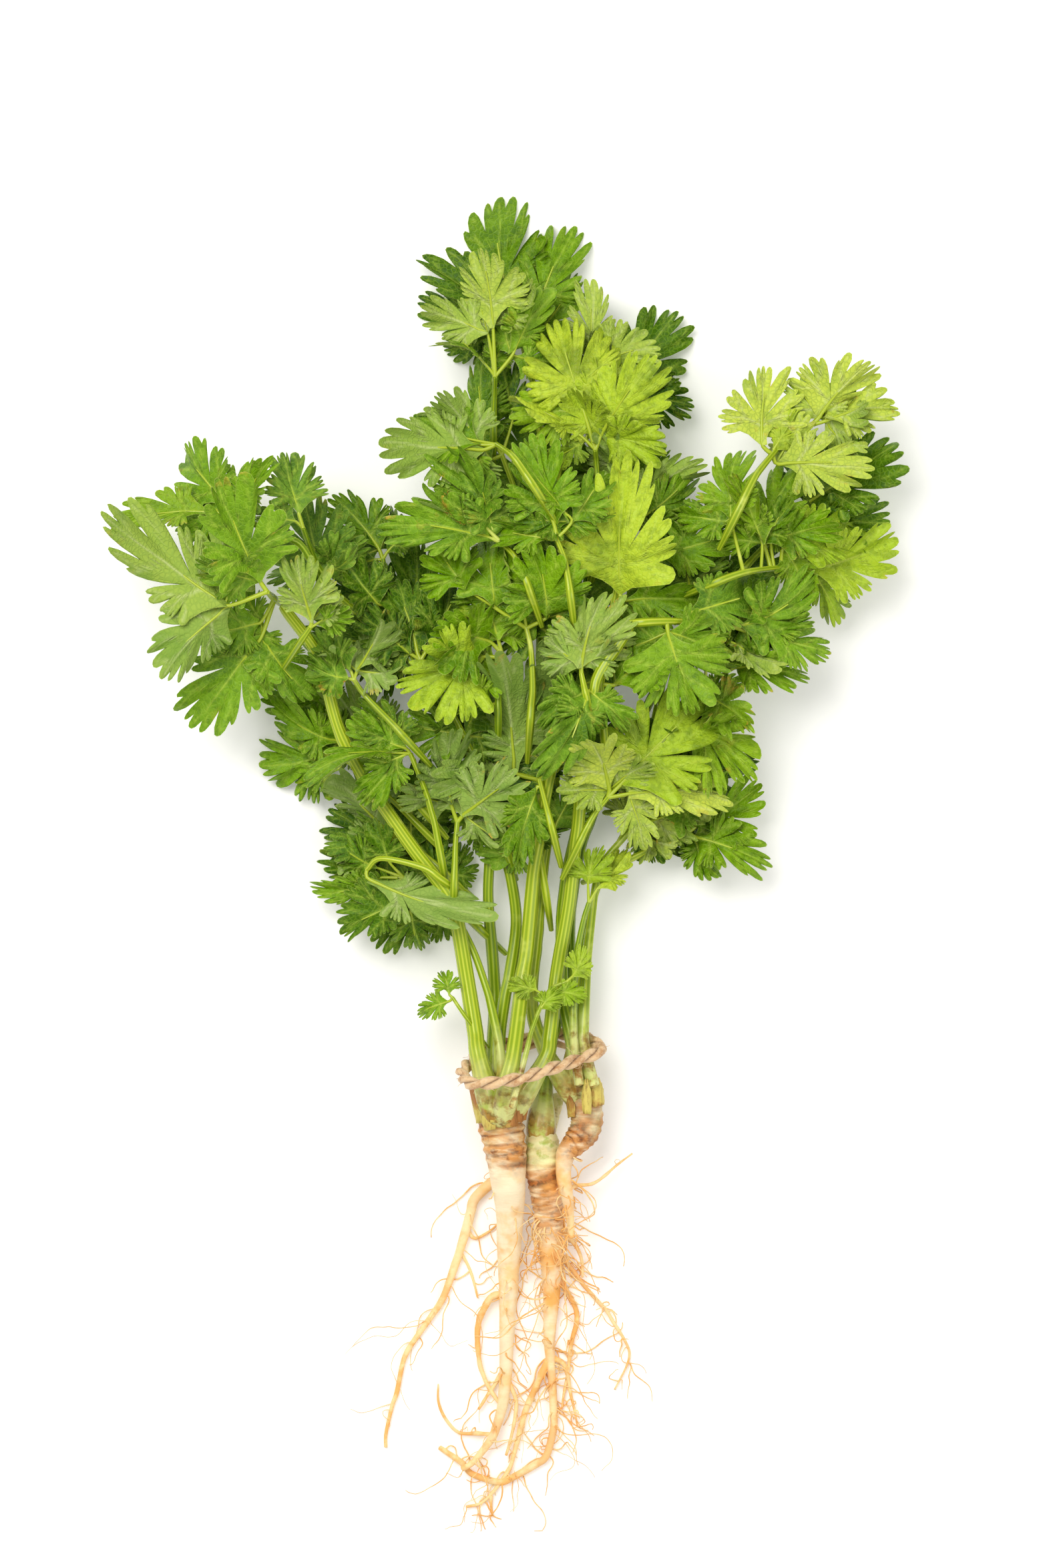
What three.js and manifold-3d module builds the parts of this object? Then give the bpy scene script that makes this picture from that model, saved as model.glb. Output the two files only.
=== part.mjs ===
// A bunch of whole coriander plants, roots and all, tied once round with twisted twine.
// It lies on its side: leaves towards +Y, roots towards -Y, the tie near Y 0, the table under it.
// Each piece is laid in turn on a map of how high the pile already is, so that it rests on what
// lies below it and nothing overlaps, whatever the sizes below are set to. Millimetres.
import * as THREE from "three";
import Module from "manifold-3d";
import { mergeVertices } from "three/addons/utils/BufferGeometryUtils.js";

// Overall sizes. The layout further down is drawn for the first pair and stretched to the second.
const DRAWN = { length: 378, width: 222 };
const LENGTH = 378; // leaf tips to root tips
const WIDTH = 222; // across the leaves

// Sizes that are set by themselves.
const CLEARANCE = 0.35; // least gap between two pieces
const LEAF_AIR = 0.4; // extra air between a leaf and what lies under it
const LEAF_DEPTH = 1.3; // of a blade at its midrib, from which it thins to both margins
const LEAF_SIZE = 1; // scales the length and width of every leaflet
const STEM_THICKNESS = 1; // scales the radius of every stem
const STALK_RADIUS = 1.05; // of a leaf's stalk, just below its blade
const LEAFLET_STALK_RADIUS = 0.75;
const STAGGER = 0.17; // each leaflet sits this much higher on the stalk than the one before, four in turn
const ROOT_THICKNESS = 1; // scales the radius of every root
const TWINE_DIAMETER = 3.8;
const TIE_Y = 0.5; // where the twine crosses the middle of the bunch
const TIE_SLANT = 0.32; // how far the tie runs towards the leaves for each mm below its top
const TIE_SKEW = 0.12; // and for each mm towards +X

// How finely pieces are faceted.
const STEM_SIDES = 6;
const STALK_SIDES = 4; // of leaf stalks and side roots
const ROOT_SIDES = 7;
const TWINE_SIDES = 7;
const RING_STEP = 7; // between the rings of a stem or a root
const TWINE_STEPS = 32;

// How leaflets lie.
const REST_TILT = -6; // degrees: a leaflet that meets nothing droops this much
const MOST_TILT = 30; // and one that lies on others is tipped up no more than this
const DROOP = 0.13; // sag of a leaflet's tip, as a share of its length

const wasm = await Module();
wasm.setup();

// ---------------------------------------------------------------- the pile so far

const CELL = 0.75;
const FIELD = { left: -150, right: 150, near: -190, far: 300 };

class Pile {
  constructor() {
    this.columns = Math.ceil((FIELD.right - FIELD.left) / CELL);
    this.rows = Math.ceil((FIELD.far - FIELD.near) / CELL);
    this.top = new Float32Array(this.columns * this.rows);
    this.wide = new Float32Array(this.columns * this.rows); // the highest of a cell and its neighbours
  }

  cell(x, y) {
    return [Math.floor((x - FIELD.left) / CELL), Math.floor((y - FIELD.near) / CELL)];
  }

  raise(x, y, z) {
    const [i, j] = this.cell(x, y);
    const k = j * this.columns + i;
    if (this.top[k] >= z) return;
    this.top[k] = z;
    for (const near of [-1, 0, 1]) {
      for (const beside of [-1, 0, 1]) {
        const n = k + near * this.columns + beside;
        this.wide[n] = Math.max(this.wide[n], z);
      }
    }
  }

  // Height of the pile at and just round a point.
  under(x, y) {
    const [i, j] = this.cell(x, y);
    return this.wide[j * this.columns + i];
  }

  // Lowest height at which the axis of a round piece clears what lies under x, y.
  axisHeight(x, y, radius) {
    const reach = radius + CLEARANCE;
    const [left, near] = this.cell(x - reach, y - reach);
    const [right, far] = this.cell(x + reach, y + reach);
    let height = reach;
    for (let j = near; j <= far; j++) {
      for (let i = left; i <= right; i++) {
        const away = Math.hypot(FIELD.left + (i + 0.5) * CELL - x, FIELD.near + (j + 0.5) * CELL - y);
        if (away > reach) continue;
        height = Math.max(height, this.top[j * this.columns + i] + Math.sqrt(reach ** 2 - away ** 2));
      }
    }
    return height;
  }

  add(geometry) {
    eachSample(geometry, CELL / 2, (p) => this.raise(p.x, p.y, p.z));
  }
}

// Visits points all over a geometry's triangles, no further apart than step.
function eachSample(geometry, step, visit) {
  const position = geometry.attributes.position;
  const index = geometry.index;
  const corners = [new THREE.Vector3(), new THREE.Vector3(), new THREE.Vector3()];
  const point = new THREE.Vector3();
  for (let t = 0; t < index.count; t += 3) {
    corners.forEach((c, n) => c.fromBufferAttribute(position, index.getX(t + n)));
    const [a, b, c] = corners;
    const longest = Math.max(a.distanceTo(b), b.distanceTo(c), c.distanceTo(a));
    const parts = Math.max(1, Math.ceil(longest / step));
    for (let u = 0; u <= parts; u++) {
      for (let v = 0; v <= parts - u; v++) {
        point.copy(a).multiplyScalar(parts - u - v).addScaledVector(b, u).addScaledVector(c, v);
        visit(point.divideScalar(parts));
      }
    }
  }
}

const pile = new Pile();

// ---------------------------------------------------------------- solids

// The same shape with shared vertices, which is what makes it closed.
function closed(geometry) {
  return mergeVertices(geometry.deleteAttribute("normal").deleteAttribute("uv"), 1e-4);
}

function solidOf(geometry) {
  return new wasm.Manifold(
    new wasm.Mesh({
      numProp: 3,
      vertProperties: new Float32Array(geometry.attributes.position.array),
      triVerts: new Uint32Array(geometry.index.array),
    }),
  );
}

function geometryOf(solid) {
  const mesh = solid.getMesh();
  return new THREE.BufferGeometry()
    .setAttribute("position", new THREE.BufferAttribute(new Float32Array(mesh.vertProperties), 3))
    .setIndex(new THREE.BufferAttribute(new Uint32Array(mesh.triVerts), 1));
}

function polygon(sides, radius) {
  const corners = Array.from({ length: sides }, (_, i) => {
    const angle = (i / sides) * 2 * Math.PI;
    return new THREE.Vector2(radius * Math.cos(angle), radius * Math.sin(angle));
  });
  return new THREE.Shape(corners);
}

// Several geometries as one solid, without the pockets that crossing leaflets may shut in.
function joined(geometries) {
  const whole = wasm.Manifold.union(geometries.map(solidOf));
  return wasm.Manifold.union(whole.decompose().filter((body) => body.volume() > 0));
}

// A straight closed prism along +Z from 0 to 1, its section a regular polygon, cut into steps.
function prism(sides, steps) {
  return closed(new THREE.ExtrudeGeometry(polygon(sides, 1), { depth: 1, steps, bevelEnabled: false }));
}

const ringsOf = (curve) => Math.max(2, Math.round(curve.getLength() / RING_STEP));

// The middle of the rod's ring that is nearest to a point in plan.
function nearestRing(curve, point) {
  const rings = Array.from({ length: ringsOf(curve) + 1 }, (_, i) => curve.getPointAt(i / ringsOf(curve)));
  const away = (ring) => Math.hypot(ring.x - point.x, ring.y - point.y);
  return rings.reduce((best, ring) => (away(ring) < away(best) ? ring : best));
}

// A tapered round rod along a curve: a prism whose rings are carried onto the curve.
function rod(curve, radiusAt, sides) {
  const rings = ringsOf(curve);
  const geometry = prism(sides, rings);
  const position = geometry.attributes.position;
  const sideways = new THREE.Vector3();
  const upright = new THREE.Vector3();
  for (let i = 0; i < position.count; i++) {
    const along = position.getZ(i);
    const at = curve.getPointAt(along);
    const ahead = curve.getTangentAt(along);
    sideways.set(-ahead.y, ahead.x, 0).normalize();
    upright.crossVectors(ahead, sideways);
    const radius = radiusAt(along);
    at.addScaledVector(sideways, position.getX(i) * radius);
    at.addScaledVector(upright, position.getY(i) * radius);
    position.setXYZ(i, at.x, at.y, at.z);
  }
  return geometry;
}

// ---------------------------------------------------------------- laying stems, stalks and roots

const stretchX = (x) => (x * WIDTH) / DRAWN.width;
const stretchY = (y) => (y * LENGTH) / DRAWN.length;

const SAMPLE = 2; // between the points at which a rod's height over the pile is tried

// A rod's route: [x, y, z] points, z being the lowest height wanted there. The rod is drawn taut over
// whatever lies under it. lift raises its far end, and liftAtFoot its near end.
function layRoute(route, radiusAt, { lift = 0, liftAtFoot = 0 } = {}) {
  const drawn = new THREE.CatmullRomCurve3(
    route.map(([x, y, z = 0]) => new THREE.Vector3(stretchX(x), stretchY(y), z)),
    false,
    "centripetal",
  );
  const count = Math.max(3, Math.ceil(drawn.getLength() / SAMPLE));
  const points = drawn.getSpacedPoints(count);
  const lowest = points.map((p, i) => {
    const along = i / count;
    const rise = liftAtFoot + (lift - liftAtFoot) * along;
    return Math.max(p.z, pile.axisHeight(p.x, p.y, radiusAt(along))) + rise;
  });
  const window = Math.ceil(RING_STEP / SAMPLE / 2);
  const needed = lowest.map((_, i) => Math.max(...lowest.slice(Math.max(0, i - window), i + window + 1)));
  let heights = [...needed];
  for (let pass = 0; pass < 60; pass++) {
    heights = heights.map((h, i) => {
      const before = heights[Math.max(0, i - 1)];
      const after = heights[Math.min(count, i + 1)];
      return Math.max(needed[i], (before + after) / 2);
    });
  }
  points.forEach((p, i) => (p.z = heights[i]));
  return new THREE.CatmullRomCurve3(points, false, "centripetal");
}

const taper = (foot, top) => (along) => foot + (top - foot) * along;

// ---------------------------------------------------------------- finished pieces

const laid = []; // the solids in the order they were laid
const rodsAtTie = []; // the curves and radii of what the twine goes round
const bunch = new THREE.Group();
const plants = {};
for (const plant of ["plant_left", "plant_middle", "plant_right", "plant_hidden", "binding"]) {
  plants[plant] = new THREE.Group();
  plants[plant].name = plant;
  bunch.add(plants[plant]);
}

const COLOURS = {
  leaf: [0x5f9a1e, 0.62],
  leafDeep: [0x3f7d1c, 0.6],
  leafPale: [0x9fb877, 0.75],
  leafYellow: [0xb9c93a, 0.65],
  stem: [0x9cc53c, 0.42],
  root: [0xe8c9a0, 0.8],
  twine: [0xb9936b, 0.9],
};

// Whether a solid, raised by lift, would run into another.
function overlaps(solid, lift, other) {
  const a = solid.boundingBox();
  const b = other.boundingBox();
  const apart = (axis, by) => a.min[axis] + by > b.max[axis] || a.max[axis] + by < b.min[axis];
  if (apart(0, 0) || apart(1, 0) || apart(2, lift)) return false;
  const moved = solid.translate([0, 0, lift]);
  const shared = moved.intersect(other);
  const volume = shared.volume();
  shared.delete();
  moved.delete();
  return volume > 1e-4;
}

function finish(name, plant, colour, solid) {
  let lift = 0;
  while (laid.some((other) => overlaps(solid, lift - CLEARANCE, other))) lift += CLEARANCE;
  const raised = solid.translate([0, 0, lift]);
  const geometry = geometryOf(raised);
  pile.add(geometry);
  laid.push(raised);
  const [hex, roughness] = COLOURS[colour];
  const mesh = new THREE.Mesh(
    geometry,
    new THREE.MeshStandardMaterial({ color: hex, roughness, metalness: 0 }),
  );
  mesh.name = name;
  plants[plant].add(mesh);
  return lift;
}

function rememberAtTie(curve, radiusAt, lift) {
  rodsAtTie.push({ curve, radiusAt, lift });
}

// ---------------------------------------------------------------- roots

// A root is its crown and taproot in one rod, with side roots grown into it.
// trunk and side points are [x, y, z, radius].
function layRoot(name, plant, trunk, sides) {
  const grow = (points) => {
    const radii = points.map((p) => p[3] * ROOT_THICKNESS);
    const radiusAt = (along) => {
      const at = along * (radii.length - 1);
      const low = Math.min(Math.floor(at), radii.length - 2);
      return radii[low] + (radii[low + 1] - radii[low]) * (at - low);
    };
    return [layRoute(points.map(([x, y, z]) => [x, y, z]), radiusAt), radiusAt];
  };
  const [core, coreRadius] = grow(trunk);
  const parts = [rod(core, coreRadius, ROOT_SIDES)];
  const grown = [core];
  for (const points of sides) {
    const [curve, radiusAt] = grow(points);
    const starts = grown.map((from) => nearestRing(from, curve.points[0]));
    const away = (start) => start.distanceTo(curve.points[0]);
    curve.points[0].copy(starts.reduce((best, start) => (away(start) < away(best) ? start : best)));
    curve.points.splice(1, 1);
    curve.updateArcLengths();
    parts.push(rod(curve, radiusAt, STALK_SIDES));
    grown.push(curve);
  }
  finish(name, plant, "root", joined(parts));
}

// ---------------------------------------------------------------- stems

function layStem(name, plant, [foot, top], route) {
  const radiusAt = taper(foot * STEM_THICKNESS, top * STEM_THICKNESS);
  const curve = layRoute(route, radiusAt);
  const lift = finish(name, plant, "stem", solidOf(rod(curve, radiusAt, STEM_SIDES)));
  rememberAtTie(curve, radiusAt, lift);
}

// ---------------------------------------------------------------- leaves

// How far ahead each station of a blade stands and half its width there, as shares of its length and
// width: where it leaves the stalk, its narrow foot, its broadest, and its blunt tip.
const OUTLINE = [
  [0, 0],
  [0, 0.12],
  [0.52, 0.5],
  [1, 0.2],
];

// One flat leaflet, its section a shallow triangle: the upper face, and the two halves of the underside
// that meet in the keel of its midrib. Its foot is at the origin and +X is ahead. Behind the foot is
// the short stalk that carries it, here still of no length.
function blade(length, width) {
  const geometry = prism(3, OUTLINE.length - 1);
  const position = geometry.attributes.position;
  const stalkEnd = [];
  for (let i = 0; i < position.count; i++) {
    const [ahead, half] = OUTLINE[Math.round(position.getZ(i) * (OUTLINE.length - 1))];
    const isKeel = position.getX(i) > 0.9;
    const side = Math.sign(Math.round(position.getY(i)));
    if (position.getZ(i) < 1e-6) stalkEnd.push([i, isKeel ? 0 : side, isKeel ? -1 : 0.5]);
    const height = (isKeel ? -LEAF_DEPTH : 0) - DROOP * length * ahead ** 2;
    position.setXYZ(i, ahead * length, side * half * width, height);
  }
  return { geometry, stalkEnd };
}

// Draws the short stalk of a leaflet that has been laid back to the joint it grows from.
function joinToStalk({ geometry, stalkEnd }, joint, heading, roll) {
  const ahead = aheadOf(heading);
  const sideways = new THREE.Vector3().crossVectors(UP, ahead).applyAxisAngle(ahead, radians(roll));
  const upright = new THREE.Vector3().crossVectors(ahead, sideways);
  for (const [i, left, up] of stalkEnd) {
    const corner = joint.clone().addScaledVector(sideways, left * LEAFLET_STALK_RADIUS);
    corner.addScaledVector(upright, up * LEAFLET_STALK_RADIUS);
    geometry.attributes.position.setXYZ(i, corner.x, corner.y, corner.z);
  }
  return geometry;
}

const radians = THREE.MathUtils.degToRad;
const UP = new THREE.Vector3(0, 0, 1);
const aheadOf = (heading) => new THREE.Vector3(1, 0, 0).applyAxisAngle(UP, radians(heading));

function poseOf(foot, heading, tilt, roll) {
  const turn = new THREE.Matrix4().makeRotationZ(radians(heading));
  turn.multiply(new THREE.Matrix4().makeRotationY(-radians(tilt)));
  turn.multiply(new THREE.Matrix4().makeRotationX(radians(roll)));
  return turn.setPosition(foot);
}

// A leaflet pivots on its foot: the pose with the least tilt at which it clears the pile and, where
// it can, its own sisters beyond the few millimetres in which they all spring from one joint.
function settle(shape, foot, heading, roll, sisters) {
  const samples = [];
  eachSample(shape, 1.2, (p) => samples.push(p.clone()));
  const point = new THREE.Vector3();
  const joined = 6;
  let fallback = null;
  for (let tilt = REST_TILT; tilt <= MOST_TILT; tilt += 3) {
    const pose = poseOf(foot, heading, tilt, roll);
    let clearsSisters = true;
    const clearsPile = samples.every((sample) => {
      point.copy(sample).applyMatrix4(pose);
      const beyond = Math.hypot(point.x - foot.x, point.y - foot.y) > joined;
      if (beyond && point.z - sisters.under(point.x, point.y) < CLEARANCE) clearsSisters = false;
      return point.z - pile.under(point.x, point.y) >= CLEARANCE + LEAF_AIR;
    });
    if (clearsPile && clearsSisters) return pose;
    if (clearsPile && !fallback) fallback = pose;
  }
  return fallback;
}

// One leaf: a stalk and its leaflets, in one piece. route ends where the blade spreads; a leaflet is
// [x, y, heading, length, width, roll], roll 180 showing its underside and 60 or so standing it on edge.
function layLeaf(name, plant, colour, height, route, leaflets, thickness = {}) {
  const { foot = STALK_RADIUS * 1.25, top = STALK_RADIUS } = thickness;
  const radiusAt = taper(foot, top);
  const end = route[route.length - 1];
  const wanted = [...route.slice(0, -1), [end[0], end[1], Math.max(height, end[2] ?? 0)]];
  const throughTie = Math.min(...route.map((p) => p[1])) < TIE_Y;
  for (let lift = 0; ; lift += 0.8) {
    const stalk = layRoute(wanted, radiusAt, { lift, liftAtFoot: throughTie ? 0 : lift / 2 });
    const sisters = new Pile();
    const parts = [rod(stalk, radiusAt, STALK_SIDES)];
    const settled = leaflets.every(([x, y, heading, length, width, roll = 0], order) => {
      const foot = new THREE.Vector3(stretchX(x), stretchY(y), 0);
      const joint = nearestRing(stalk, foot);
      joint.z += STAGGER * (order % 4);
      const ahead = aheadOf(heading);
      const behind = foot.sub(joint).setZ(0).dot(ahead);
      foot.addScaledVector(ahead, Math.max(0, LEAFLET_STALK_RADIUS - behind)).add(joint);
      const leaflet = blade(length * LEAF_SIZE, width * LEAF_SIZE);
      const pose = settle(leaflet.geometry, foot, heading, roll, sisters);
      if (!pose) return false;
      sisters.add(leaflet.geometry.applyMatrix4(pose));
      parts.push(joinToStalk(leaflet, joint, heading, roll));
      return true;
    });
    if (!settled) continue;
    const more = finish(name, plant, colour, joined(parts));
    if (throughTie) rememberAtTie(stalk, radiusAt, more);
    return;
  }
}

// ---------------------------------------------------------------- the twine

// One turn of twine round everything that passes through the tie: the hull of their sections,
// grown by the gap and half the twine.
function layTie(name) {
  const ring = TWINE_DIAMETER / 2;
  const yAt = (x, z) => TIE_Y + TIE_SKEW * x - TIE_SLANT * (z - 12);
  const corners = [];
  for (const { curve, radiusAt, lift } of rodsAtTie) {
    for (let along = 0; along <= 1; along += 0.004) {
      const p = curve.getPointAt(along);
      if (Math.abs(p.y - yAt(p.x, p.z)) > TWINE_DIAMETER) continue;
      const grown = radiusAt(along) + ring + 1.5 * CLEARANCE;
      for (let turn = 0; turn < 24; turn++) {
        const angle = (turn / 24) * 2 * Math.PI;
        corners.push([p.x + grown * Math.cos(angle), p.z + lift + grown * Math.sin(angle)]);
      }
    }
  }
  const outline = hull(corners).map(([x, z]) => new THREE.Vector3(x, yAt(x, z), z));
  const loop = new THREE.CatmullRomCurve3(outline, true, "centripetal");
  const evened = new THREE.CatmullRomCurve3(loop.getSpacedPoints(TWINE_STEPS).slice(0, -1), true);
  const geometry = new THREE.ExtrudeGeometry(polygon(TWINE_SIDES, ring), {
    steps: TWINE_STEPS,
    bevelEnabled: false,
    extrudePath: evened,
  });
  finishTie(name, closed(geometry));
}

function finishTie(name, geometry) {
  const [hex, roughness] = COLOURS.twine;
  const mesh = new THREE.Mesh(geometry, new THREE.MeshStandardMaterial({ color: hex, roughness }));
  mesh.name = name;
  plants.binding.add(mesh);
}

// Convex outline of points in a plane, anticlockwise.
function hull(points) {
  const sorted = [...points].sort((a, b) => a[0] - b[0] || a[1] - b[1]);
  const turns = (a, b, c) => (b[0] - a[0]) * (c[1] - a[1]) - (b[1] - a[1]) * (c[0] - a[0]);
  const half = (ordered) => {
    const kept = [];
    for (const p of ordered) {
      while (kept.length > 1 && turns(kept[kept.length - 2], kept[kept.length - 1], p) <= 1e-3) kept.pop();
      kept.push(p);
    }
    return kept.slice(0, -1);
  };
  return [...half(sorted), ...half(sorted.reverse())];
}

// The twine passes under the bunch, so the stems are laid above room for it.
function leaveRoomForTwine() {
  for (let x = -24; x <= 24; x += CELL / 2) {
    for (let y = TIE_Y - 8; y <= TIE_Y + 10; y += CELL / 2) pile.raise(x, y, TWINE_DIAMETER + CLEARANCE);
  }
}

// ================================================================ the layout, bottom of the pile first

// Roots lie on the table, the slender hidden plant under the other three.
layRoot(
  "root_hidden",
  "plant_hidden",
  [[8, -14, 3, 1.8], [4.5, -26, 3, 2.4], [-1.5, -35.5, 2.2, 2], [-10, -38, 2, 1.6], [-15, -42, 2, 1.5],
    [-18, -51, 2, 1.4], [-21, -61, 1, 1.2], [-25, -72, 1, 1], [-31, -81, 1, 0.9], [-36, -89, 1, 0.8],
    [-38, -98, 1, 0.7], [-41, -108, 1, 0.6], [-41.5, -115, 1, 0.5]],
  [[[-19, -54, 1, 0.7], [-15, -55, 1, 0.6], [-11, -53, 1, 0.5], [-8, -50, 1, 0.4]],
    [[-20, -57, 1, 0.6], [-17, -64, 1, 0.5], [-15, -72, 1, 0.4]]],
);
layRoot(
  "root_middle",
  "plant_middle",
  [[3.4, -25.5, 6.5, 4.6], [3.3, -31, 6, 5.3], [4.4, -38, 5, 4.6], [5.2, -44, 4, 4.1], [5.6, -54, 3, 3.4],
    [6.2, -64, 3, 2.9], [6, -76, 2, 2.3], [5.6, -86, 2, 1.8], [6.3, -94, 2, 1.3], [6.7, -103, 1, 1.2],
    [6.8, -110, 1, 1.1], [5, -117, 1, 1.2], [-2, -122, 1, 1.1], [-9, -125, 1, 1], [-16, -123, 1, 1],
    [-21, -118, 1, 0.9], [-26, -115, 1, 0.7]],
  [[[5.6, -86, 2, 1.3], [3, -94, 2, 1.2], [0, -101, 1, 1.1], [-3, -110, 1, 1], [-6, -120, 1, 0.9],
    [-12, -130, 1, 0.8], [-18, -132, 1, 0.6]],
    [[-10.5, -128, 1, 0.7], [-11, -131.5, 1, 0.5], [-10.5, -135, 1, 0.4]],
    [[6, -64, 2, 1.2], [11, -71, 1, 1.1], [13.4, -78, 1, 1], [12, -86, 1, 0.9], [10.5, -95, 1, 0.7],
      [9.5, -104, 1, 0.5]],
    [[6, -56, 3, 1.1], [12, -64, 1, 0.9], [17.5, -71, 1, 0.8], [23, -77, 1, 0.7], [27, -83, 1, 0.6],
      [28, -92, 1, 0.5], [24, -98.5, 1, 0.4]],
    [[5, -46, 4, 1], [10, -53, 3, 0.9], [14, -58, 2, 0.8], [15, -66, 1, 0.6]],
    [[5.6, -86, 2, 1], [10, -92, 1, 0.8], [12, -100, 1, 0.6], [14, -109, 1, 0.4]]],
);
layRoot(
  "root_left",
  "plant_left",
  [[-8.2, -18, 9, 6.8], [-8, -24, 8.6, 6], [-7, -29, 8, 5.2], [-6.3, -36, 7, 4.2], [-5.7, -46, 5, 3.7],
    [-6, -57, 4, 3.2], [-6.1, -68, 3, 2.7], [-6.5, -79, 3, 2.3], [-6.8, -90, 2, 2], [-7.6, -101, 2, 1.7],
    [-10, -110, 2, 1.4], [-14, -117, 3, 1.1], [-19.5, -121, 4, 0.8]],
  [[[-6.1, -68, 3, 1.3], [-12, -73, 2, 1.2], [-15, -81, 1, 1.1], [-15.2, -88, 1, 1], [-12, -97, 1, 1],
    [-8.5, -103, 2, 0.9]],
    [[-6.8, -92, 2, 0.8], [-11, -98, 1, 0.8], [-15.2, -104, 1, 0.6]],
    [[-10, -109.5, 2, 0.8], [-16, -111, 1, 0.7], [-22, -110, 1, 0.6], [-26, -103, 1, 0.5], [-26.5, -97, 1, 0.4]],
    [[-7, -94, 2, 0.9], [-4, -100, 2, 0.8], [-4.5, -109, 2, 0.7], [-7, -117, 2, 0.6]]],
);
layRoot(
  "root_right",
  "plant_right",
  [[15.4, -15, 9.5, 4.7], [16.4, -20, 9.2, 4.7], [14.6, -25, 8, 3.4], [10.5, -29.5, 6, 2.3],
    [9.6, -35, 4, 1.9], [11, -44, 2, 1.3], [12, -54, 2, 0.9]],
  [[[9.8, -38, 3, 0.8], [14, -39.5, 2, 0.7], [19, -38, 1, 0.6], [24, -34.5, 1, 0.5], [29.5, -30.5, 1, 0.4]]],
);

leaveRoomForTwine();

// Stems of the lowest layer, then the leaves that the rest of the bunch lies on.
layStem("stem_left_low", "plant_left", [2, 1.2], [
  [-10.8, -16, 5.2], [-10.6, 0, 6], [-10, 14, 8], [-11, 30, 9], [-12, 45, 10], [-11, 62, 12], [-10, 80, 14],
  [-9, 92, 17],
]);
layStem("stem_middle_low", "plant_middle", [2, 1.2], [
  [6, -19.6, 6], [5.6, 0, 6.5], [10.4, 16.5, 8], [11.4, 37, 9], [13, 50, 10], [17, 66, 10], [27, 85, 11],
  [38, 107, 13], [50, 130, 17],
]);
layLeaf("leaf_under_right", "plant_hidden", "leafDeep", 3,
  [[8.6, -12, 3.5], [11.6, 0, 6], [14, 20, 5], [18, 42, 4], [26, 60, 3], [34, 72]],
  [[37, 76, 18, 26, 20], [34, 75, 78, 24, 18], [36, 72, -32, 20, 15], [28, 62, -5, 18, 13]],
  { foot: 1.5 });
layLeaf("leaf_under_left", "plant_left", "leafDeep", 2, [[-14, 34], [-24, 44], [-34, 54]],
  [[-37, 57, 150, 24, 18], [-35, 54, 195, 22, 15], [-34, 57, 95, 24, 17], [-26, 44, 200, 20, 15],
    [-24, 47, 125, 18, 13]]);
layLeaf("leaf_under_left_top", "plant_left", "leafDeep", 3, [[-14, 84], [-24, 100], [-34, 116]],
  [[-37, 119, 130, 28, 20], [-34, 119, 80, 24, 18], [-36, 116, 178, 24, 17]]);
layLeaf("leaf_under_right_top", "plant_middle", "leafDeep", 3, [[36, 96], [40, 112], [47, 124]],
  [[49, 127, 38, 28, 20], [46, 127, 92, 24, 18], [49, 124, -12, 24, 16]]);
layLeaf("leaf_under_top", "plant_middle", "leafDeep", 3, [[3, 112], [3, 132], [4, 148]],
  [[4, 151, 92, 30, 20], [1, 149, 145, 26, 19], [7, 149, 40, 26, 19]]);

// Stems of the middle layer.
layStem("stem_left_long", "plant_left", [1.8, 1.2], [
  [-6, -16, 5.4], [-9, 2, 11], [-6.6, 17.5, 13], [-4.6, 26.7, 13], [-4, 40, 13], [-7, 56, 14], [-14, 76, 15],
  [-23, 95, 17], [-35, 111, 19], [-46, 122, 22], [-56, 130.5, 25],
]);
layStem("stem_right_crossing", "plant_right", [2.1, 1.3], [
  [12.4, -12, 8], [7.8, -6.4, 9], [4.2, 0, 11], [0.6, 11.4, 12], [0.9, 21.6, 13], [2.4, 37, 13], [4.2, 55, 14],
  [6.5, 68, 14], [7.5, 80, 15],
]);
layStem("stem_right_tall", "plant_right", [2, 1.2], [
  [15.8, -9.8, 11], [12.9, -0.8, 13], [10.4, 8.4, 14], [9.4, 16.5, 14], [9, 27, 14], [9.4, 40, 14], [12, 58, 15],
  [18, 80, 16], [22, 100, 17], [24.6, 112, 18], [25.6, 121, 20],
]);

// Leaves at the back, seen between those in front.
layLeaf("leaf_top_back", "plant_middle", "leaf", 6, [[4, 166], [2, 186], [-3, 205]],
  [[-5, 211, 106, 32, 21], [-8, 209, 141, 24, 15], [-9, 205, 152, 25, 13], [1, 209, 72, 25, 16],
    [2, 205, 46, 17, 12]]);
layLeaf("leaf_top_right_back", "plant_right", "leafDeep", 8, [[16, 156], [21, 174], [26, 186]],
  [[26, 189, 58, 26, 20], [29, 186, 8, 17, 13]]);
layLeaf("leaf_right_back", "plant_middle", "leafDeep", 9, [[60, 136], [70, 147], [77, 153]],
  [[79, 156, 36, 28, 18], [80, 152, -8, 21, 10]]);
layLeaf("leaf_left_inner", "plant_left", "leafDeep", 9, [[-31, 106], [-38, 119], [-41, 130], [-42, 140]],
  [[-43, 143, 122, 19, 14], [-41, 142, 50, 12, 9], [-44, 140, 192, 12, 8], [-43, 127, 133, 16, 12]]);
layLeaf("leaf_shade_left", "plant_left", "leafDeep", 8,
  [[-7, 58, 6], [-13, 76, 7], [-21, 94, 8], [-31, 111]],
  [[-32, 113, 100, 21, 16], [-29, 114, 62, 22, 14], [-34, 113, 142, 18, 12], [-10, 67, 165, 20, 15],
    [-12, 74, 48, 24, 17], [-19, 88, 70, 22, 16], [-19, 90, 172, 17, 12]]);
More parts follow.
